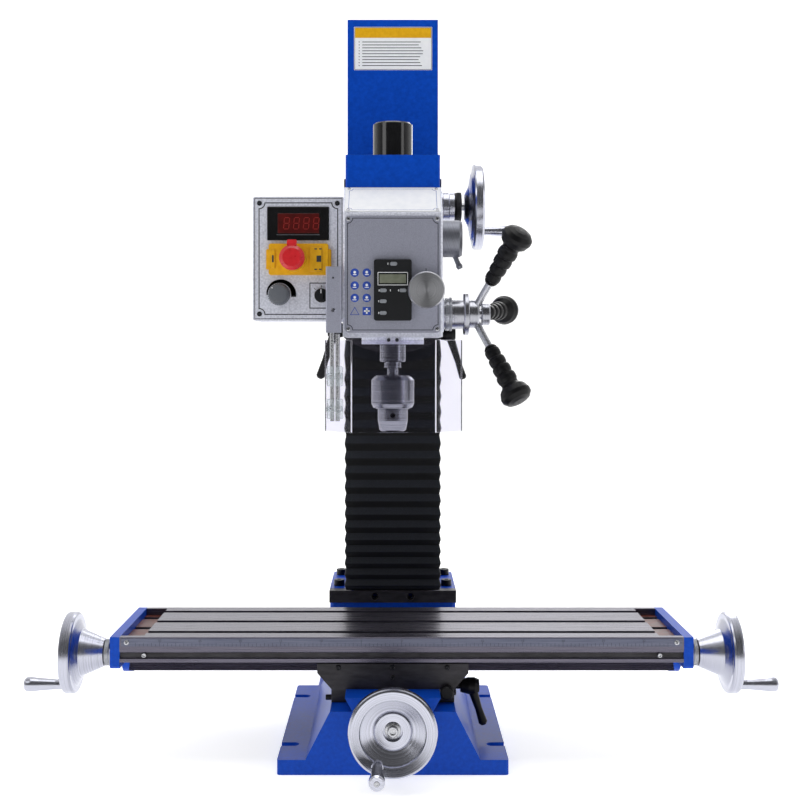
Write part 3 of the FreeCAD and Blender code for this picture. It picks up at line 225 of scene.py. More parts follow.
# %% Floor, world and lamps
world = bpy.data.worlds.new("studio")
bpy.context.scene.world = world
world.use_nodes = True
tree = world.node_tree
sky_light = tree.nodes["Background"]
sky_light.inputs["Color"].default_value = linear("#FFFFFF")
toward = add(tree, "ShaderNodeTexCoord")
split = add(tree, "ShaderNodeSeparateXYZ", {"Vector": toward.outputs["Generated"]})
level = add(tree, "ShaderNodeMapRange", {"Value": split.outputs["Y"]}, From_Min=-0.6, From_Max=0.5,
            To_Min=0.12, To_Max=1.0)
tree.links.new(level.outputs["Result"], sky_light.inputs["Strength"])
bpy.context.scene.view_settings.view_transform = "Standard"

sweep_mat, _, shader = finish("white_paper_sweep", "#FBFBFB", 0.9)
textured(sweep_mat, ("#FAFAFA", "#FDFDFD"), 40, 0.02, (0.85, 0.95))
shader.inputs["Emission Color"].default_value = linear("#FFFFFF")
shader.inputs["Emission Strength"].default_value = 0.55
# the paper lies flat from front to back, bends up with the radius BEND, and stands to the top
SWEEP_FRONT, SWEEP_BACK, SWEEP_BEND, SWEEP_TOP, SWEEP_HALF = -4.0, 2.2, 1.2, 6.0, 18.0
BEND_STEPS = 16
profile = [(SWEEP_FRONT, 0.0)]
for i in range(BEND_STEPS + 1):
    a = math.pi / 2 * i / BEND_STEPS
    profile.append((SWEEP_BACK + SWEEP_BEND * math.sin(a), SWEEP_BEND * (1 - math.cos(a))))
profile.append((SWEEP_BACK + SWEEP_BEND, SWEEP_TOP))
bm = bmesh.new()
edges = [[bm.verts.new((x, y, z)) for y, z in profile] for x in (-SWEEP_HALF, SWEEP_HALF)]
for i in range(len(profile) - 1):
    bm.faces.new((edges[0][i], edges[1][i], edges[1][i + 1], edges[0][i + 1]))
mesh = bpy.data.meshes.new("paper_sweep")
bm.to_mesh(mesh)
bm.free()
for face in mesh.polygons:
    face.use_smooth = True
sweep = bpy.data.objects.new("paper_sweep", mesh)
mesh.materials.append(sweep_mat)
bpy.context.scene.collection.objects.link(sweep)


def lamp(name, at, target, size, watts):
    """A rectangular soft box at a point, aimed at a target."""
    light = bpy.data.lights.new(name, "AREA")
    light.shape, light.size, light.size_y, light.energy = "RECTANGLE", size[0], size[1], watts
    obj = bpy.data.objects.new(name, light)
    obj.location = at
    obj.rotation_euler = (Vector(target) - Vector(at)).to_track_quat("-Z", "Y").to_euler()
    bpy.context.scene.collection.objects.link(obj)


lamp("key_left", (-1.7, -1.5, 1.5), (0, -0.1, 0.5), (0.9, 1.6), 11)
lamp("fill_right", (1.8, -1.2, 1.1), (0, -0.1, 0.5), (0.6, 1.6), 6)
lamp("overhead", (0, -0.2, 2.2), (0, 0, 0.3), (1.6, 1.2), 13)
lamp("back_rim", (0.6, 1.8, 1.6), (0, 0, 0.5), (1.2, 1.2), 12)
print("a sweep", 2 * SWEEP_HALF, "m wide and", len(bpy.data.lights), "lamps")

# %% [markdown]
# ## Painted surfaces
# The blue is a gloss enamel sprayed over filled iron: an even colour with a faint orange peel, a few
# millimetres across, that breaks up reflections. The grey is hammertone, a paint whose metal flakes
# float into cells about two millimetres wide, and a Voronoi pattern gives such cells. A bevel node
# rounds every textured edge when light falls on it; where it bends the surface most, paint has worn pale.

# %% Blue enamel, hammertone and black enamel
blue, *_ = finish("blue_gloss_enamel", "#0446B4", 0.36, Specular_IOR_Level=0.15, Coat_Weight=0.02,
                  Coat_Roughness=0.15)
textured(blue, ("#0341AC", "#064ABE"), 5, 0.08, (0.32, 0.42), wear="#2E68B0")
black_enamel, *_ = finish("black_stoved_enamel", "#0F1012", 0.4, Specular_IOR_Level=0.25)
textured(black_enamel, ("#131416", "#1D1E21"), 3, 0.15, (0.35, 0.5))

hammer, tree, shader = finish("grey_hammertone_paint", "#C9CCD8", 0.4, 0.25)
where = add(tree, "ShaderNodeTexCoord")
cells = add(tree, "ShaderNodeTexVoronoi", {"Vector": where.outputs["Object"]}, Scale=per_mm(2.4),
            feature="SMOOTH_F1")
tint = add(tree, "ShaderNodeValToRGB", {"Fac": cells.outputs["Distance"]})
tint.color_ramp.elements[0].color = linear("#EBEDF8")
tint.color_ramp.elements[1].color = linear("#B7BAC8")
tree.links.new(tint.outputs["Color"], shader.inputs["Base Color"])
dent = add(tree, "ShaderNodeBump", {"Height": cells.outputs["Distance"]}, Strength=0.2,
           Distance=GRAIN_DEPTH, invert=True)
tree.links.new(dent.outputs["Normal"], shader.inputs["Normal"])
print("paints", blue.name, hammer.name, black_enamel.name)

# %% [markdown]
# ## Bare metals
# The table is cast iron, ground flat: the grinding wheel leaves fine lines along the table, so the
# grain is stretched about sixty-five times along X. The saddle is milled iron gone dark with oil. Steel and
# aluminium that were turned on a lathe carry rings, so their gloss is drawn out round the axis: an
# anisotropic shader with a radial tangent gives the bright fans that a turned wheel shows.

# %% Ground, milled and turned metals
ground, *_ = finish("ground_cast_iron", "#5E5B68", 0.3, 0.8)
textured(ground, ("#55525F", "#6C6976"), 1.2, 0.03, (0.2, 0.36), stretch=(0.015, 1, 1))
milled, *_ = finish("oiled_milled_iron", "#2E2C30", 0.38, 0.5)
textured(milled, ("#201E22", "#3A383C"), 6, 0.1, (0.3, 0.5), stretch=(0.3, 1, 1), wear="#5E5B62")
bronze, *_ = finish("machined_bronze", "#B08145", 0.35, 1.0)
textured(bronze, ("#9C713A", "#C2934F"), 2, 0.1, (0.28, 0.42))
blackened, *_ = finish("blackened_steel", "#1B1B1D", 0.38, 0.7)
textured(blackened, ("#141416", "#26262A"), 1.5, 0.1, (0.3, 0.45), wear="#6E6E73")


def turned_metal(name, colours, axis, centre, roughness, stretch=0.7, ring_mm=0.9):
    """A metal turned on a lathe about an axis through centre: rings of tool marks and a drawn-out gloss."""
    m, tree, shader = finish(name, colours[1], roughness, 1.0, Anisotropic=stretch)
    where = add(tree, "ShaderNodeTexCoord")
    moved = add(tree, "ShaderNodeVectorMath", {0: where.outputs["Object"]}, operation="SUBTRACT")
    moved.inputs[1].default_value = centre
    keep = [0.0 if a == axis else 1.0 for a in "XYZ"]
    flat = add(tree, "ShaderNodeVectorMath", {0: moved.outputs[0]}, operation="MULTIPLY")
    flat.inputs[1].default_value = keep
    radius = add(tree, "ShaderNodeVectorMath", {0: flat.outputs[0]}, operation="LENGTH")
    along = add(tree, "ShaderNodeVectorMath", {0: moved.outputs[0]}, operation="DOT_PRODUCT")
    along.inputs[1].default_value = [1.0 - k for k in keep]
    sum_of = add(tree, "ShaderNodeMath", {0: radius.outputs["Value"], 1: along.outputs["Value"]},
                 operation="ADD")
    rings = add(tree, "ShaderNodeTexNoise", {"W": sum_of.outputs[0]}, noise_dimensions="1D",
                Scale=per_mm(ring_mm), Detail=3.0)
    tint = add(tree, "ShaderNodeValToRGB", {"Fac": rings.outputs["Fac"]})
    for stop, position, colour in zip(tint.color_ramp.elements, (0.25, 0.75), colours):
        stop.position, stop.color = position, linear(colour)
    tree.links.new(tint.outputs["Color"], shader.inputs["Base Color"])
    spread = add(tree, "ShaderNodeMapRange", {"Value": rings.outputs["Fac"]}, To_Min=roughness * 0.7,
                 To_Max=roughness * 1.4)
    tree.links.new(spread.outputs["Result"], shader.inputs["Roughness"])
    groove = add(tree, "ShaderNodeBump", {"Height": rings.outputs["Fac"]}, Strength=0.12, Distance=0.02 * MM)
    tree.links.new(groove.outputs["Normal"], shader.inputs["Normal"])
    tangent = add(tree, "ShaderNodeTangent", direction_type="RADIAL", axis=axis)
    tree.links.new(tangent.outputs["Tangent"], shader.inputs["Tangent"])
    return m


def middle(node):
    """The centre of a CAD part's box."""
    low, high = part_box(node)
    return Vector([(l + h) / 2 for l, h in zip(low, high)])


STEEL, ALU = ("#8A8B92", "#B4B5BD"), ("#A3A5B0", "#C9CAD6")
x_alu = turned_metal("turned_aluminium_x", ALU, "X", middle("x_handwheels"), 0.2)
y_alu = turned_metal("turned_aluminium_y", ALU, "Y", middle("y_handwheel"), 0.2)
z_alu = turned_metal("turned_aluminium_z", ALU, "X", middle("z_handwheel"), 0.2)
DULL, DARK, FACED = ("#6E7078", "#8C8E96"), ("#6E6F76", "#A0A1A9"), ("#9A9BA0", "#D0D1D5")
range_steel = turned_metal("turned_cast_iron_knob", DULL, "X", middle("range_knob"), 0.38)
hub_steel = turned_metal("turned_steel_hub", STEEL, "X", middle("quill_hub"), 0.2)
spindle_steel = turned_metal("turned_steel_spindle", DARK, "Z", middle("spindle"), 0.2, ring_mm=1.6)
knob_steel = turned_metal("faced_steel_knob", FACED, "Y", middle("fine_feed_knob"), 0.28, 0.85, ring_mm=0.35)
screw_steel, *_ = finish("bright_steel_bar", "#B9BABE", 0.25, 1.0)
textured(screw_steel, ("#A2A3A8", "#CACBCF"), 1, 0.08, (0.2, 0.34))
sheet_alu, *_ = finish("satin_blasted_aluminium_sheet", "#BFC2D0", 0.36, 0.6)
textured(sheet_alu, ("#9294A4", "#B4B6C6"), 0.6, 0.03, (0.34, 0.5), detail=6.0)
print("metals down to", sheet_alu.name)

# %% [markdown]
# ## Plastics, rubber and clear sheet
# Grips and levers are moulded phenolic or nylon: near black, with a fine moulded texture. Switch
# parts are glossier ABS. The guard is cast acrylic, 3 mm thick, faintly grey with age: full
# transmission with low roughness, its edges catching light because they are real faces. The bellows'
# cloth has painted shade on the faces that look down, so its folds read as light and dark bands.

# %% Plastics
grip_black, *_ = finish("moulded_black_phenolic", "#0B0B0D", 0.4, Specular_IOR_Level=0.2)
textured(grip_black, ("#08080A", "#0F0F12"), 1.2, 0.06, (0.34, 0.46))
abs_black, *_ = finish("textured_black_abs", "#101114", 0.5, Specular_IOR_Level=0.3)
textured(abs_black, ("#0C0D10", "#14161A"), 0.8, 0.15, (0.42, 0.58))
gloss_black, *_ = finish("gloss_black_abs", "#0E0E10", 0.12)
textured(gloss_black, ("#0B0B0D", "#121214"), 8, 0.04, (0.08, 0.16))
rubber, tree, shader = finish("coated_bellows_cloth", "#0F1013", 0.6, Specular_IOR_Level=0.2)
textured(rubber, ("#1A1C22", "#22252C"), 1.5, 0.15, (0.5, 0.66))
# painted shade: faces turned down are mixed towards near black, and faces turned up keep the lighter cloth
# colour
shade = add(tree, "ShaderNodeMix", data_type="RGBA")
surface = add(tree, "ShaderNodeNewGeometry")
facing = add(tree, "ShaderNodeSeparateXYZ", {"Vector": surface.outputs["Normal"]})
painted_shade_by_facing = add(tree, "ShaderNodeMapRange", {"Value": facing.outputs["Z"]}, From_Min=-0.1, From_Max=0.25)
tree.links.new(painted_shade_by_facing.outputs["Result"], shade.inputs[0])
shade.inputs[6].default_value = linear("#050608")
tree.links.new(shader.inputs["Base Color"].links[0].from_socket, shade.inputs[7])
tree.links.new(shade.outputs[2], shader.inputs["Base Color"])
yellow, *_ = finish("yellow_gloss_abs", "#E3A90A", 0.32)
textured(yellow, ("#DCA206", "#EAB318"), 6, 0.05, (0.26, 0.38))
red, *_ = finish("red_gloss_abs", "#C81C24", 0.28)
textured(red, ("#C01A22", "#D0242C"), 6, 0.05, (0.24, 0.34))
grey_abs, *_ = finish("grey_abs", "#5C6067", 0.42)
textured(grey_abs, ("#54585F", "#666A71"), 1.5, 0.08, (0.36, 0.48))
lcd, *_ = finish("lcd_glass", "#6E7263", 0.15)
textured(lcd, ("#686C5D", "#74786A"), 6, 0.0, (0.1, 0.2))
# dark ink for print, also used as painted shade in screw recesses and slots
ink_and_shade, *_ = finish("dark_ink_and_painted_shade", "#2A2D34", 0.6)
textured(ink_and_shade, ("#262930", "#30343B"), 2, 0.02, (0.5, 0.66))
sky, *_ = finish("blue_printed_ink", "#2348A8", 0.5)
textured(sky, ("#1F3F9C", "#2A50B4"), 2, 0.02, (0.45, 0.55))
label_white, *_ = finish("white_label_film", "#F2F3F6", 0.4)
textured(label_white, ("#EEF0F4", "#F6F7F9"), 9, 0.02, (0.35, 0.45))
clear, *_ = finish("cast_acrylic_sheet", "#E6E5F0", 0.04, IOR=1.2, Transmission_Weight=1.0)
textured(clear, ("#E3E2EE", "#E9E8F3"), 30, 0.01, (0.03, 0.07))
clamp_clear, *_ = finish("moulded_clear_acrylic", "#EEF2F5", 0.1, IOR=1.3, Transmission_Weight=0.75)
textured(clamp_clear, ("#E9EFF3", "#F6F9FB"), 5, 0.05, (0.08, 0.16))
lit_red, _, shader = finish("dim_red_segments", "#6E1210", 0.3)
textured(lit_red, ("#6A1210", "#7A1814"), 3, 0.0, (0.25, 0.35))
shader.inputs["Emission Color"].default_value = linear("#FF3A20")
shader.inputs["Emission Strength"].default_value = 0.05
red_window, *_ = finish("red_filter_window", "#4A0D0B", 0.12)
textured(red_window, ("#3F0B0A", "#561210"), 12, 0.0, (0.08, 0.16))
print(len(bpy.data.materials), "materials so far")

# %% Give every CAD part its finish
FINISH = {
    blue: ["base", "column", "table_end_brackets", "column_cover", "top_cover"],
    hammer: ["head_casting", "control_box"],
    ground: ["table"],
    milled: ["saddle", "y_screw_bracket", "z_screw_brackets", "z_carriage"],
    bronze: ["feed_nuts", "z_nut"],
    blackened: ["gib_screws", "column_bolts"],
    screw_steel: ["z_screw", "saddle_gibs", "z_gib", "x_screw", "y_screw", "quill_bearings", "guard_rods",
                  "hub_rods", "chuck_jaws", "z_wheel_shaft"],
    x_alu: ["x_handwheels", "x_handle_left", "x_handle_right"],
    y_alu: ["y_handwheel", "y_handle"],
    z_alu: ["z_handwheel", "z_handle", "z_dial_housing", "motor_pulley", "spindle_pulley"],
    hub_steel: ["quill_hub"],
    range_steel: ["range_knob"],
    spindle_steel: ["spindle", "quill", "chuck_body", "chuck_sleeve"],
    knob_steel: ["fine_feed_knob"],
    sheet_alu: ["head_front_plate", "guard_bracket"],
    black_enamel: ["motor"],
    grip_black: ["hub_grips", "saddle_lock_lever", "z_lock_lever", "quill_lock_lever", "table_lock_knob"],
    abs_black: ["depth_readout", "direction_knob"],
    grey_abs: ["speed_knob"],
    gloss_black: ["drawbar_cap"],
    rubber: ["bellows", "drive_belt"],
    yellow: ["stop_switch_body"],
    red: ["stop_cap"],
    clear: ["guard_screen"],
}
for material, nodes in FINISH.items():
    for node in nodes:
        slots = bpy.data.objects[node].material_slots
        if not slots:
            bpy.data.objects[node].data.materials.append(material)
        for s in slots:
            s.material = material
print("finishes on", sum(len(v) for v in FINISH.values()), "CAD parts")

# %% [markdown]
# ## Working on a face
# Labels, scales and screws all sit on flat faces. A plane with its own two directions lets each be laid
# out in millimetres across, up and out of the face, even on the sloping top of the head.

# %% A plane to lay details on
class Plane:
    """A face with an origin in millimetres and its own directions across, up and out."""
    def __init__(self, origin_mm, across=(1, 0, 0), up=(0, 0, 1)):
        self.origin = Vector(origin_mm)
        self.across, self.up = Vector(across).normalized(), Vector(up).normalized()
        self.out = self.across.cross(self.up)

    def at(self, u, v, h=0.0):
        return (self.origin + self.across * u + self.up * v + self.out * h) * MM


def slab(bm, plane, u, v, h, round_mm=0.0):
    """A box on a plane: u, v and h are (from, to) in millimetres."""
    corners = [bm.verts.new(plane.at(a, b, c)) for c in h for b in v for a in u]
    quads = ((0, 1, 3, 2), (4, 6, 7, 5), (0, 4, 5, 1), (2, 3, 7, 6), (0, 2, 6, 4), (1, 5, 7, 3))
    faces = [bm.faces.new([corners[i] for i in quad]) for quad in quads]
    if round_mm:
        edges = list({e for f in faces for e in f.edges})
        bmesh.ops.bevel(bm, geom=edges, offset=round_mm * MM, segments=2, affect="EDGES")


def stroke(bm, plane, points, width, height, closed=False):
    """A printed or painted line through points on a plane, with a little thickness."""
    pairs = list(zip(points, points[1:] + points[:1] if closed else points[1:]))
    for (u0, v0), (u1, v1) in pairs:
        way = Vector((u1 - u0, v1 - v0)).normalized() * width / 2
        side = Vector((-way.y, way.x))
        a, b = Vector((u0, v0)) - way, Vector((u1, v1)) + way
        ring = [a + side, b + side, b - side, a - side]
        low = [bm.verts.new(plane.at(p.x, p.y, 0.0)) for p in ring]
        top = [bm.verts.new(plane.at(p.x, p.y, height)) for p in ring]
        bm.faces.new(top)
        for i in range(4):
            bm.faces.new((low[i - 1], low[i], top[i], top[i - 1]))


def notched(u, v, r, steps=6):
    """A rectangle's outline whose corners step inwards round a screw of radius r."""
    points = []
    for cu, cv, start in ((u[0], v[0], 90), (u[1], v[0], 180), (u[1], v[1], 270), (u[0], v[1], 0)):
        for i in range(steps + 1):
            a = math.radians(start - 90 * i / steps)
            points.append((cu + r * math.cos(a), cv + r * math.sin(a)))
    return points


def disc(bm, plane, u, v, r, h0, h1, steps=32, edge=0.15):
    """A round plate or plug on a plane, its rim slightly broken."""
    tall = h1 - h0
    lathe(bm, [(0, 0), (r, 0), (r, tall - edge), (r - edge, tall), (0, tall)], plane.at(u, v, h0), plane.out,
          steps)


def numerals(bm, plane, words, u, v, size, height):
    """Figures stamped on a plane, centred on u."""
    curve = bpy.data.curves.new("figures", "FONT")
    curve.body, curve.size, curve.align_x, curve.resolution_u = words, size, "CENTER", 3
    holder = bpy.data.objects.new("figures", curve)
    bpy.context.scene.collection.objects.link(holder)
    bpy.context.view_layer.update()
    flat = bpy.data.meshes.new_from_object(holder)
    count = len(bm.verts)
    bm.from_mesh(flat)
    bm.verts.ensure_lookup_table()
    for vert in bm.verts[count:]:
        vert.co = plane.at(u + vert.co.x, v + vert.co.y, height)
    bpy.data.objects.remove(holder)
    bpy.data.meshes.remove(flat)


def crosshead(bm, plane, u, v, r=2.8):
    """A pan head screw, whose cross recess is painted on as dark shade by a separate function."""
    profile = [(0, 0), (r, 0), (r, 0.7), (r * 0.9, 1.1), (r * 0.55, 1.4), (0, 1.4)]
    lathe(bm, profile, plane.at(u, v), plane.out, 24)


def painted_recess_shade(bm, plane, u, v, r=2.8):
    """Painted shade for a pan head's cross recess: a dark cross, turned a little, as screws end up."""
    top = Plane(plane.at(u, v, 1.36) / MM, plane.across + plane.up * 0.6, plane.up - plane.across * 0.6)
    for ends in (((-1, 0), (1, 0)), ((0, -1), (0, 1))):
        stroke(bm, top, [(c * r * 0.5, d * r * 0.5) for c, d in ends], r * 0.28, 0.1)


def screws(name, plane, places, material, body, r=2.8):
    """Pan head screws at places on a plane, with the painted shade of their recesses as a second piece."""
    heads, crosses = bmesh.new(), bmesh.new()
    for u, v in places:
        crosshead(heads, plane, u, v, r)
        painted_recess_shade(crosses, plane, u, v, r)
    piece(name + "s", heads, material, body)
    piece(name + "_recesses", crosses, ink_and_shade, body)


def both(us, vs):
    """The places where each of us meets each of vs."""
    return [(u, v) for u in us for v in vs]


# %% [markdown]
# ## The bellows
# The way cover is coated cloth folded like an accordion and held open by stiff strips. Its folds are a
# zigzag with sharp crests and creases, closer together at the foot than under the carriage, and the top
# one is cut to the round underside of the carriage. It hangs between the column's foot and the
# carriage.

# %% Bellows
low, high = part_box("bellows")
FOLDS, FOLD_LOW, FOLD_HIGH = 17, 15.5, 25.5    # the folds open out towards the carriage
CREASE_FRONT, CREASE_SIDE = 4.2, 1.9           # how deep the creases run on the front and on the sides
ZIGZAG = ((0.0, 1.0), (0.06, 0.93), (0.4, 0.14), (0.47, 0.0), (0.54, 0.08), (0.94, 0.9))
TILT_R, CARRIAGE_HALF = 119.0, 68.0            # the carriage's round underside, which the top fold follows
half, front_y, back_y = high.x / MM, low.y / MM, high.y / MM
plan = [(-half, back_y), (-half, front_y + 9), (-half, front_y + 2.5), (-half + 0.8, front_y + 0.8),
        (-half + 2.5, front_y), (-half / 2, front_y), (0, front_y)]
plan += [(-x, y) for x, y in reversed(plan[:-1])]
bm = bmesh.new()
rows = []
heights = [FOLD_LOW + (FOLD_HIGH - FOLD_LOW) * i / (FOLDS - 1) for i in range(FOLDS)]
start = 0.0
for height in heights:
    rows += [((start + t * height) / sum(heights), depth) for t, depth in ZIGZAG]
    start += height
rows.append((1.0, 1.0))
TOP_SHARE = heights[-1] / sum(heights)
last = None
for share, depth in rows:
    z = low.z + 0.0004 + share * (high.z - low.z - 0.0008)
    scale = (half - CREASE_SIDE * depth) / half
    line = []
    for x, y in plan:
        arc = TILT_R - math.sqrt(TILT_R ** 2 - min(abs(x), CARRIAGE_HALF) ** 2)
        lift = arc * max(0.0, share - 1 + TOP_SHARE) / TOP_SHARE * MM
        inward = CREASE_FRONT * depth if y < back_y else 0
        line.append(bm.verts.new((x * scale * MM, (y + inward) * MM, z + lift)))
    if last:
        for j in range(len(line) - 1):
            bm.faces.new((last[j], last[j + 1], line[j + 1], line[j]))
    last = line
bellows = piece("bellows_cloth", bm, rubber, None)
solid = bellows.modifiers.new("cloth", "SOLIDIFY")
solid.thickness, solid.offset = 0.6 * MM, 1.0
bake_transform(bellows)
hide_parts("bellows")
print("bellows", FOLDS, "folds from", FOLD_LOW, "to", FOLD_HIGH, "mm in proportion")

# %% [markdown]
# ## The head's face
# The front plate is thin aluminium, printed and varnished, held by four pan head screws. A dark line runs
# round it and steps inwards at each screw. Round blue symbols beside the readout remind the operator of
# safety gear; here they are plain discs with simple shapes, beside a plain square and a triangle's
# outline. The name plate above is left without a name.

# %% Front plate, symbols and screws
low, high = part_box("head_front_plate")
FACE = Plane((0, low.y / MM, 0))
left, right, bottom, top = low.x / MM, high.x / MM, low.z / MM, high.z / MM
bm = bmesh.new()
stroke(bm, FACE, notched((left + 3, right - 3), (bottom + 3.5, top - 3), 6.5), 0.9, 0.12, closed=True)
knob_low, knob_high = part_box("fine_feed_knob")
index = ((knob_low.x + knob_high.x) / 2 / MM, knob_high.z / MM + 1.5)
stroke(bm, FACE, [index, (index[0], index[1] + 3)], 1.0, 0.12)
piece("face_border", bm, ink_and_shade, "head")
screws("face_screw", FACE, both((left + 4, right - 4), (bottom + 4.5, top - 4)), screw_steel, "head")
discs, glyphs = bmesh.new(), bmesh.new()
PRINTED = Plane(FACE.at(0, 0, 0.12) / MM)
SYMBOL_U, SYMBOL_V, SYMBOL_R = (-47.5, -32.5), (613.0, 597.0, 581.5), 5.3
for row, v in enumerate(SYMBOL_V):
    for col, u in enumerate(SYMBOL_U):
        disc(discs, FACE, u, v, SYMBOL_R, 0, 0.12, edge=0.03)
        disc(glyphs, FACE, u, v + 0.6, 1.7, 0.1, 0.2, 16, edge=0.02)
        stroke(glyphs, PRINTED, [(u - 1.6 - row * 0.4, v - 2.4), (u + 1.6 + col * 0.5, v - 2.4)], 1.0, 0.08)
slab(discs, FACE, (-37.6, -27.4), (560.0, 570.2), (0, 0.12))
stroke(glyphs, PRINTED, [(-35, 565.1), (-30, 565.1)], 2.0, 0.08)
stroke(glyphs, PRINTED, [(-32.5, 562.6), (-32.5, 567.6)], 2.0, 0.08)
piece("symbol_discs", discs, sky, "head")
piece("symbol_glyphs", glyphs, label_white, "head")
bm = bmesh.new()
stroke(bm, FACE, [(-52.8, 560.6), (-42.2, 560.6), (-47.5, 569.8)], 0.7, 0.12, closed=True)
piece("symbol_triangle", bm, sky, "head")
print("front plate", round(right - left), "by", round(top - bottom), "mm")

# %% Name plate on the slope
cover_low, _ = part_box("top_cover")
head_low, head_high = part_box("head_casting")
SLOPE_FOOT = 0.688      # the height where the head's sloping top starts
slope_run, slope_rise = cover_low.y - head_low.y, head_high.z - SLOPE_FOOT
SLOPE = Plane((0, (head_low.y + cover_low.y) / 2 / MM, (head_high.z + SLOPE_FOOT) / 2 / MM), (1, 0, 0),
              (0, slope_run, slope_rise))
reach = math.hypot(slope_run, slope_rise) / MM / 2
bm = bmesh.new()
slab(bm, SLOPE, (-60.5, 60.5), (-reach + 1.5, reach - 2.5), (0.05, 1.0), 0.25)
piece("name_plate", bm, label_white, "head")
UPPER = Plane(SLOPE.at(0, 0, 1.0) / MM, SLOPE.across, SLOPE.up)
bm = bmesh.new()
stroke(bm, UPPER, notched((-55.5, 55.5), (-reach + 5, reach - 6), 4.5), 0.5, 0.08, closed=True)
piece("name_plate_border", bm, sky, "head")
screws("name_plate_screw", UPPER, both((-56, 56), (-reach + 4.8, reach - 5.8)), screw_steel, "head", 2.2)
print("name plate", round(2 * reach - 4, 1), "mm up the slope")

# %% [markdown]
# ## Readout and controls
# The depth readout is a battery scale: a sunk display, and soft rubber keys that show as pale ovals.
# The speed display on the control box uses four dim red seven-segment figures, which
# lean a little, on a dark red filter.

# %% Depth readout
key_grey, *_ = finish("pale_grey_silicone", "#7E8288", 0.6)
textured(key_grey, ("#777B81", "#858990"), 1.0, 0.05, (0.52, 0.68))
low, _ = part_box("depth_readout")
CASE = Plane((0, low.y / MM, 0))
bm = bmesh.new()
DISPLAY = (-16.5, 16.5), (599.5, 610.5), (-0.8, -0.3)      # across, up and out, in millimetres
slab(bm, CASE, *DISPLAY, 0.1)
piece("readout_display", bm, lcd, "head")
bm = bmesh.new()
stroke(bm, CASE, [(-18.4, 597.2), (18.4, 597.2), (18.4, 612.8), (-18.4, 612.8)], 0.7, 0.25, closed=True)
for u, v in ((-16.5, 590.5), (-2.5, 590.5), (7.5, 590.5), (-17, 577), (-17, 562.5), (-5.5, 623.5)):
    stroke(bm, CASE, [(u - 0.5, v - 0.9), (u - 0.5, v + 0.9)], 0.7, 0.1)
piece("readout_marks", bm, label_white, "head")
keys = bmesh.new()
KEYS = (1, 623.5), (-12, 590.5), (12.5, 590.5), (-12, 577), (-12, 562.5)
for u, v in KEYS:
    stroke(keys, CASE, [(u - 0.6, v), (u + 0.6, v)], 4.6, 0.74)
    for end in (-2.2, 2.2):    # a hair taller than the bar between them, so that no two tops coincide
        disc(keys, CASE, u + end, v, 2.3, 0, 0.8, 20)
piece("readout_keys", keys, key_grey, "head")
print("readout with", len(KEYS), "keys")

# %% Control panel
low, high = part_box("control_box")
BOX = Plane((0, low.y / MM, 0))
left, right, bottom, top = low.x / MM, high.x / MM, low.z / MM, high.z / MM
bm = bmesh.new()
stroke(bm, BOX, notched((left + 8, right - 8), (bottom + 8, top - 8), 7.5), 1.3, 0.12, closed=True)
rim = (left + 2.4, right - 2.4, bottom + 2.4, top - 2.4)
stroke(bm, BOX, [(rim[0], rim[2]), (rim[1], rim[2]), (rim[1], rim[3]), (rim[0], rim[3])], 0.8, 0.1,
       closed=True)
low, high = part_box("direction_knob")
du, dv = (low.x + high.x) / 2 / MM, (low.z + high.z) / 2 / MM
stroke(bm, BOX, [(du - 15, dv - 16), (du + 14, dv - 16), (du + 14, dv + 16), (du - 15, dv + 16)], 1.2, 0.15,
       closed=True)


def around(u, v, r, degrees):
    """The point at a radius and an angle from (u, v)."""
    return u + r * math.cos(math.radians(degrees)), v + r * math.sin(math.radians(degrees))


for a in (45, 90, 135):
    stroke(bm, BOX, [around(du, dv, 11, a), around(du, dv, 13, a)], 0.8, 0.1)
low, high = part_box("speed_knob")
su, sv = (low.x + high.x) / 2 / MM, (low.z + high.z) / 2 / MM
for i in range(36):
    width = 1.5 + 5.0 * i / 36
    radius = 15.0 + width / 2
    stroke(bm, BOX, [around(su, sv, radius, 180 - i * 5), around(su, sv, radius, 175 - i * 5)], width, 0.12)
piece("panel_print", bm, ink_and_shade, "head")
screws("panel_screw", BOX, both((left + 8.5, right - 8.5), (bottom + 8.5, top - 8.5)), blackened, "head", 3.2)
print("panel", round(right - left), "by", round(top - bottom), "mm")

# %% Speed display
bm = bmesh.new()
BEZEL, BEZEL_TOP = ((-160.5, -81.5), (656.5, 699.5)), 2.2
WINDOW, WINDOW_DEEP = ((-147, -94), (665.5, 691)), 0.5
slab(bm, BOX, *BEZEL, (0, BEZEL_TOP), 0.5)
piece("display_bezel", bm, gloss_black, "head")
GLASS = Plane(BOX.at(0, 0, BEZEL_TOP) / MM)
bm = bmesh.new()
slab(bm, GLASS, *WINDOW, (0, WINDOW_DEEP), 0.12)
piece("display_window", bm, red_window, "head")
bm = bmesh.new()
stroke(bm, GLASS, [(-148, 663.6), (-94, 663.6)], 0.8, 0.2)
piece("display_rule", bm, grey_abs, "head")
LIT = Plane(BOX.at(0, 0, BEZEL_TOP + WINDOW_DEEP) / MM)
LEAN = 0.08             # how far the figures lean over for each millimetre of height
DIGITS, DIGIT_STEP, w, h = 4, 12.6, 6.6, 14.5     # how many figures, their spacing, width and height
bm = bmesh.new()
for digit in range(DIGITS):
    u, v = -139.5 + digit * DIGIT_STEP, 671
    segments = (((0, h), (w, h)), ((w, h), (w, h / 2)), ((w, h / 2), (w, 0)), ((0, 0), (w, 0)),
                ((0, 0), (0, h / 2)), ((0, h / 2), (0, h)), ((0, h / 2), (w, h / 2)))
    for (x0, z0), (x1, z1) in segments:
        trim = Vector((x1 - x0, z1 - z0)).normalized() * 1.2
        start = (u + x0 + trim.x + z0 * LEAN, v + z0 + trim.y)
        stroke(bm, LIT, [start, (u + x1 - trim.x + z1 * LEAN, v + z1 - trim.y)], 1.1, 0.05)
piece("display_figures", bm, lit_red, "head")
print("speed display with", DIGITS, "figures", h, "mm tall")

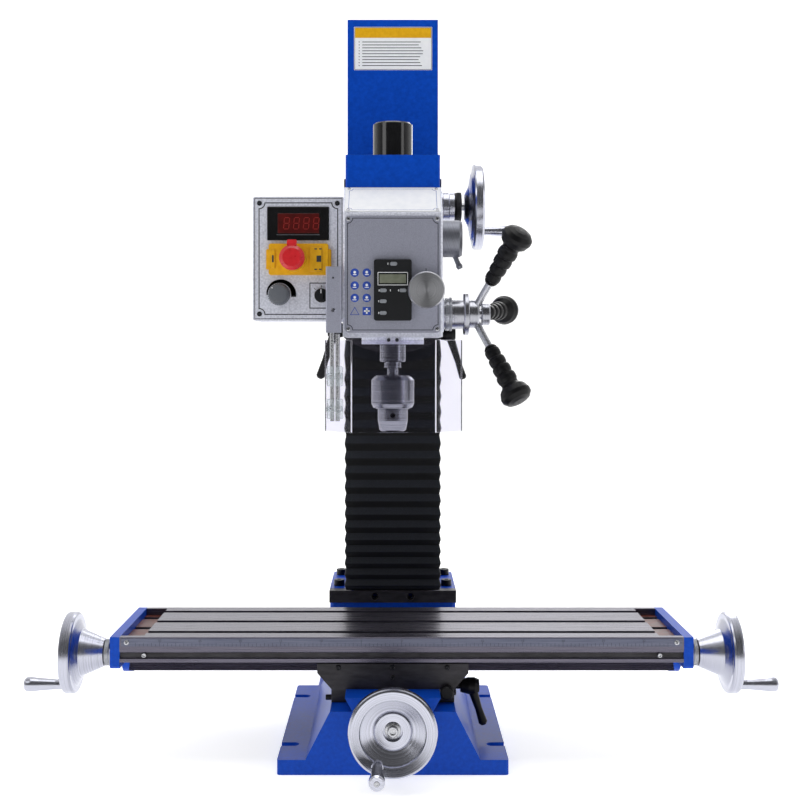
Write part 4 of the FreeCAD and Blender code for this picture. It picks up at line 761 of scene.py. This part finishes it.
# %% Switch, cap tab and knob pointers
LUG_TOP = 1.6           # how far the lugs stand out of the switch
SWITCH = Plane((0, BOX.origin.y - 8, 0))
SLOT_FACE = Plane((0, SWITCH.origin.y - LUG_TOP, 0))
bm = bmesh.new()
for u in (-161.5, -84.5):
    slab(bm, BOX, (u, u + 6), (619, 645), (0, 6.5), 0.8)
slab(bm, SWITCH, (-106, -90), (616, 648), (0, LUG_TOP), 0.5)
slab(bm, SWITCH, (-155, -149.5), (620, 644), (0, LUG_TOP), 0.5)
piece("switch_lugs", bm, yellow, "head")
# painted shade: the switch's slots are thin dark slabs on the faces of its lugs
bm = bmesh.new()
slab(bm, SLOT_FACE, (-97, -91), (628.5, 636.5), (0, 0.15))
slab(bm, SLOT_FACE, (-153.6, -151.4), (628, 637), (0, 0.15))
for u, v in ((-98, 645), (-92, 645), (-98, 619), (-92, 619)):
    slab(bm, SLOT_FACE, (u - 1.6, u + 1.6), (v - 0.8, v + 0.8), (0, 0.12))
piece("switch_slots", bm, ink_and_shade, "head")
low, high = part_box("stop_cap")
cu, cv = (low.x + high.x) / 2 / MM, (low.z + high.z) / 2 / MM
CAP = Plane((cu, low.y / MM, cv))
bm = bmesh.new()
slab(bm, CAP, (-6.2, 6.2), (9, 22.5), (-8.5, -3.6), 0.7)
lathe(bm, [(0, 0.1), (11.5, 0.1), (11.9, -0.3), (11.5, -0.9), (0, -0.9)], CAP.at(0, 0, -0.2), CAP.out, 48)
piece("stop_cap_tab", bm, red, "stop_button")
bm = bmesh.new()
low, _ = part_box("speed_knob")
KNOB = Plane((su, low.y / MM, sv))
stroke(bm, KNOB, [(-4, 4), (-8, 8)], 1.2, 0.15)
piece("speed_knob_pointer", bm, label_white, "speed_dial")
bm = bmesh.new()
lathe(bm, [(0, 0), (10.6, 0), (10.2, 0.25), (9.6, 0.3), (0, 0.3)], KNOB.at(0, 0, 0), KNOB.out, 48)
FLUTES = 30
for i in range(FLUTES):
    spot = KNOB.at(*around(0, 0, 13.6, 360 * i / FLUTES), -12.3)
    lathe(bm, [(0, 0), (0.55, 0.2), (0.55, 9.5), (0, 10)], spot, KNOB.out, 6)
piece("speed_knob_flutes", bm, grey_abs, "speed_dial")
bm = bmesh.new()
low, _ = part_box("direction_knob")
stroke(bm, Plane((du, low.y / MM, dv)), [(0, 3), (0, 7)], 1.0, 0.15)
piece("direction_pointer", bm, label_white, "direction_switch")
print("speed knob with", FLUTES, "flutes")

# %% [markdown]
# ## Label on the column cover
# The sheet above the head carries a printed film label. A coloured band heads it and rules mark where
# print would stand; the words themselves are left off, so the label stays generic.

# %% Column label
low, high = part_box("column_cover")
COVER_FACE = 72.0       # Y of the sheet's front face
COVER = Plane((0, COVER_FACE, 0))
bm = bmesh.new()
LABEL, LABEL_THICK = ((-56.5, 57.5), (925, 988)), 0.2
slab(bm, COVER, *LABEL, (0, LABEL_THICK), 0.05)
piece("cover_label", bm, label_white, "z_slide")
ON = Plane((0, COVER_FACE - LABEL_THICK, 0))
bm = bmesh.new()
slab(bm, ON, (-55, 56), (972, 986.5), (0, 0.08))
piece("cover_label_band", bm, yellow, "z_slide")
bm = bmesh.new()
stroke(bm, ON, [(-55.5, 926), (56.5, 926), (56.5, 987), (-55.5, 987)], 0.6, 0.1, closed=True)
for i in range(9):
    line_z = 966 - i * 4.3
    line_end = 40 + 9 * noise.noise(Vector((i * 1.7, 0.3, 0)))
    stroke(bm, ON, [(-44, line_z), (line_end, line_z)], 1.1, 0.06)
    disc(bm, ON, -49, line_z, 0.8, 0, 0.06, 10, 0.01)
piece("cover_label_rules", bm, ink_and_shade, "z_slide")
print("a label 114 mm wide on a cover", round((high.x - low.x) / MM), "mm wide")

# %% [markdown]
# ## The cross table
# A steel rule lies along the table's front edge, engraved every 5 mm, with longer lines every 10 and
# figures, in centimetres, every 50. Stop screws clamp in the groove below it. The troughs at both ends
# catch coolant and are brushed with red-brown oil-proof paint, which the T-slots cut through.

# %% Rule, stop screws and troughs
rule_steel, *_ = finish("engraved_rule_steel", "#5E6172", 0.34, 0.7)
textured(rule_steel, ("#55586A", "#6C6F80"), 1.0, 0.03, (0.28, 0.4), stretch=(0.02, 1, 1))
low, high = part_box("table")
left, right, top = low.x / MM, high.x / MM, high.z / MM
EDGE = Plane((0, low.y / MM, 0))
bm = bmesh.new()
slab(bm, EDGE, (left + 2, right - 2), (top - 11.3, top - 1.4), (0.02, 0.7), 0.15)
piece("table_rule", bm, rule_steel, "table")
RULE = Plane(EDGE.at(0, 0, 0.7) / MM)
bm = bmesh.new()
middle_x = (left + right) / 2
for i in range(-66, 67):
    tall = 5.2 if i % 10 == 0 else 3.8 if i % 2 == 0 else 2.4
    stroke(bm, RULE, [(middle_x + i * 5, top - 11), (middle_x + i * 5, top - 11 + tall)], 0.45, 0.05)
    if i % 10 == 0:
        numerals(bm, RULE, str(abs(i) // 2), middle_x + i * 5, top - 5.6, 4.2, 0.06)
piece("table_rule_marks", bm, ink_and_shade, "table")
screws("table_rule_screw", RULE, both((left + 9, right - 9), (top - 6.4,)), screw_steel, "table", 3.2)
GROOVE = Plane((0, low.y / MM + 3, 0))
bm = bmesh.new()
slab(bm, GROOVE, (left + 0.5, right - 0.5), (134.8, 140.6), (0.02, 0.25))
piece("table_groove_shade", bm, milled, "table")
bm = bmesh.new()
for u in (-308.7, 331.2):
    screw_head(bm, GROOVE.at(u, 137.7, 0.2), GROOVE.out, 2.9, 3.4, domed=False)
piece("table_stop_screws", bm, screw_steel, "table")
redbrown, *_ = finish("redbrown_oilproof_paint", "#4A130C", 0.4)
textured(redbrown, ("#43190F", "#6E2C1C"), 9, 0.1, (0.3, 0.5))
bm = bmesh.new()
FLOOR = Plane((0, 0, 151.4), (1, 0, 0), (0, 1, 0))
for u in ((left + 0.3, left + 28.7), (right - 28.7, right - 0.3)):
    for v in ((-194.7, -181.3), (-168.7, -120.3), (-107.7, -59.3), (-46.7, -33.3)):
        slab(bm, FLOOR, u, v, (0.02, 0.3), 0.08)
piece("trough_paint", bm, redbrown, "table")
print("table", round(right - left), "mm long")

# %% End bracket screws
bm = bmesh.new()
BRACKET_FACES = (-1, -351.0), (1, 373.0)      # each side's direction and the X of its face
for side, face in BRACKET_FACES:
    for y in (-190.0, -38.0):
        screw_head(bm, Vector((face, y, 146)) * MM, (side, 0, 0), 4.2, 3.6, domed=False)
piece("bracket_screws", bm, blackened, "table")

# %% [markdown]
# ## Dials and crank details
# The table's screw and the quill's hub carry friction dials: collars engraved with lines, turned by a
# knurled edge, whose raised ribs stand for the knurl. The height wheel's housing has a knurled collar. On
# the X and Y wheels, the crank pin goes through the rim and shows a slotted end behind it, and a screw
# with a washer holds the wheel on its shaft.


# %% Dial and crank helpers
def dial(name, plane, r, width, body, marks=50):
    """A graduated collar: a ring about the plane's origin, with ribs at its outer end and lines round it."""
    ring, lines = bmesh.new(), bmesh.new()
    profile = [(r - 2, 0), (r - 0.3, 0), (r, 0.3), (r, width * 0.55), (r - 0.6, width * 0.6),
               (r - 0.6, width * 0.66), (r + 0.4, width * 0.7), (r + 0.4, width - 0.5), (r, width),
               (r - 2, width)]
    lathe(ring, profile, plane.at(0, 0), plane.out, 96)
    for i in range(marks):
        a = 2 * math.pi * i / marks
        tall = 0.42 if i % 5 == 0 else 0.28
        spot = plane.at(r * math.cos(a), r * math.sin(a))
        side = plane.across * math.cos(a) + plane.up * math.sin(a)
        wall = Plane(spot / MM, plane.across * -math.sin(a) + plane.up * math.cos(a), plane.out)
        if wall.out.dot(side) < 0:
            wall = Plane(spot / MM, -wall.across, wall.up)
        stroke(lines, wall, [(0, 0.4), (0, width * tall)], 0.4, 0.06)
        grip = Plane(wall.at(0, width * 0.7, 0.4) / MM, wall.across, wall.up)
        stroke(ring, grip, [(0, 0.3), (0, width * 0.3 - 0.6)], 0.8, 0.35)
    piece(name, ring, dial_steel, body)
    piece(name + "_lines", lines, ink_and_shade, body)


def crank_details(name, axis, hub_mm, pin_mm, rim_back, slot_wide, body):
    """A hub screw with its washer, and the tail of the crank pin behind the rim, whose slot is a dark stroke
    of painted shade.
    """
    bm, dark = bmesh.new(), bmesh.new()
    lathe(bm, [(3, 0), (9.5, 0), (9.5, 1.2), (9, 1.5), (3, 1.5)], Vector(hub_mm) * MM, axis, 32)
    screw_head(bm, (Vector(hub_mm) + Vector(axis) * 1.5) * MM, axis, 6.4, 5.5, domed=False)
    back = Vector(pin_mm) - Vector(axis) * rim_back
    tail = Plane(back, Vector(axis).orthogonal(), Vector(axis).cross(Vector(axis).orthogonal()))
    if tail.out.dot(Vector(axis)) > 0:
        tail = Plane(back, -tail.across, tail.up)
    disc(bm, tail, 0, 0, 5.2, 0, 0.5)
    # painted shade: the slot is a dark stroke on the tail's face
    stroke(dark, Plane(tail.at(0, 0, 0.5) / MM, tail.across, tail.up), [(0, -3.6), (0, 3.6)], slot_wide, 0.08)
    piece(name, bm, screw_steel, body)
    piece(name + "_slot", dark, ink_and_shade, body)


dial_steel, *_ = finish("satin_chromed_dial", "#A9ABB1", 0.35, 0.9)
textured(dial_steel, ("#95979D", "#BBBDC3"), 0.8, 0.12, (0.28, 0.42))
low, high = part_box("x_screw")
axis_y, axis_z = (low.y + high.y) / 2 / MM, (low.z + high.z) / 2 / MM
dial("x_dial_left", Plane((-357.4, axis_y, axis_z), (0, 1, 0), (0, 0, -1)), 16.3, 18.5, "x_screw")
dial("x_dial_right", Plane((379.4, axis_y, axis_z), (0, 1, 0), (0, 0, 1)), 16.3, 18.5, "x_screw")
PIN_Z, RIM_BACK, SLOT = 78, -15, 1.6      # the X crank pins' height, a tail's offset along its axis, a slot
for name, side, hub_x, pin_x in (("x_crank_left", -1, -410.6, -427), ("x_crank_right", 1, 432.6, 449)):
    crank_details(name, (side, 0, 0), (hub_x, axis_y, axis_z), (pin_x, axis_y, PIN_Z), RIM_BACK, SLOT,
                  "x_screw")
_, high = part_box("y_handwheel")
screw_z = high.z / MM - 52.4
crank_details("y_crank_end", (0, -1, 0), (0, -288.5, screw_z), (-18.0, -305, 32.4), RIM_BACK, SLOT,
              "y_screw")
low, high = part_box("y_handle")
END = Plane(((low.x + high.x) / 2 / MM, low.y / MM, (low.z + high.z) / 2 / MM))
bm = bmesh.new()
screw_head(bm, END.at(0, 0, -0.4), END.out, 3.0, 0.9, domed=False)
piece("y_handle_screw", bm, screw_steel, "y_crank")
print("crank details on 3 wheels")

# %% Z dial and hub dial
low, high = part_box("z_dial_housing")
ZAXIS = ((low.y + high.y) / 2 / MM, (low.z + high.z) / 2 / MM)
bm = bmesh.new()
end = high.x / MM
profile = [(19.6, 0), (20.4, 0), (20.6, 0.3), (20.6, 10), (20.2, 10.4), (19.6, 10.4)]
lathe(bm, profile, Vector((end - 10.8, *ZAXIS)) * MM, (1, 0, 0), 96)
RIBS, RIB_R = 72, 20.7
for i in range(RIBS):
    spot = Vector((end - 7.4, *around(*ZAXIS, RIB_R, 360 * i / RIBS))) * MM
    lathe(bm, [(0.3, 0), (0.45, 0.3), (0.45, 6.4), (0.3, 6.8)], spot, (1, 0, 0), 5)
piece("z_dial_knurl", bm, blackened, "z_wheel")
low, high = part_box("quill_hub")
hub_y, hub_z = (low.y + high.y) / 2 / MM, (low.z + high.z) / 2 / MM
dial("hub_dial", Plane((71.0, hub_y, hub_z), (0, 1, 0), (0, 0, 1)), 22.2, 9.0, "hub", 60)
print("knurled collar with", RIBS, "ribs")

# %% [markdown]
# ## Guard, saddle and small fittings
# The guard's sheet hangs on two steel rods by clear moulded clamps, which are screwed together.
# A small cast lug with two screws sits under the head's front edge, and the saddle has an adjusting screw
# on its left flank.

# %% Guard clamps, lug and saddle screw
low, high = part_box("guard_rods")
ROD_Y = (low.y + high.y) / 2 / MM
bm = bmesh.new()
rod_left, rod_right = low.x / MM, high.x / MM


def clamp_part(xs, ys, zs, round_mm):
    """A block between pairs of millimetre coordinates."""
    block(bm, *[Vector(corner) * MM for corner in zip(xs, ys, zs)], round_mm)


for z in (431, 471.5):
    for xs in ((rod_left - 3.6, rod_left + 5.6), (rod_right - 5.4, rod_right + 4.4)):
        clamp_part(xs, (ROD_Y - 5.2, ROD_Y - 3.0), (z, z + 25), 0.9)
    clamp_part((rod_left - 4, rod_right + 4), (ROD_Y - 6.2, ROD_Y - 5.0), (z + 9, z + 16), 0.5)
piece("guard_clamps", bm, clamp_clear, "guard")
bm = bmesh.new()
for z in (443.5, 484):
    for x in (rod_left + 1.4, rod_right - 1.4):
        screw_head(bm, Vector((x, ROD_Y - 6.2, z)) * MM, (0, -1, 0), 1.7, 1.0)
piece("guard_clamp_screws", bm, screw_steel, "guard")
low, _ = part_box("guard_bracket")
bm = bmesh.new()
BAR = Plane((0, low.y / MM, 0))
disc(bm, BAR, -74.0, 606, 1.3, 0, 0.08, 16, 0.02)
piece("guard_bar_pin", bm, ink_and_shade, "head")

low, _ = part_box("head_casting")
LUG = Plane((0, low.y / MM + 3, 0))
bm = bmesh.new()
slab(bm, LUG, (-10.7, 10.7), (524.4, 533.5), (-9, 0), 0.8)
piece("head_lug", bm, hammer, "head")
bm = bmesh.new()
for u in (-5.2, 5.2):
    screw_head(bm, LUG.at(u, 529, 0), LUG.out, 2.3, 1.4, domed=False)
piece("head_lug_screws", bm, blackened, "head")
low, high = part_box("saddle")
bm = bmesh.new()
screw_head(bm, Vector((-76.6, low.y / MM + 8, 81.5)) * MM, (-1, 0, 0), 3.4, 7.5, domed=False)
piece("saddle_flank_screw", bm, blackened, "saddle")
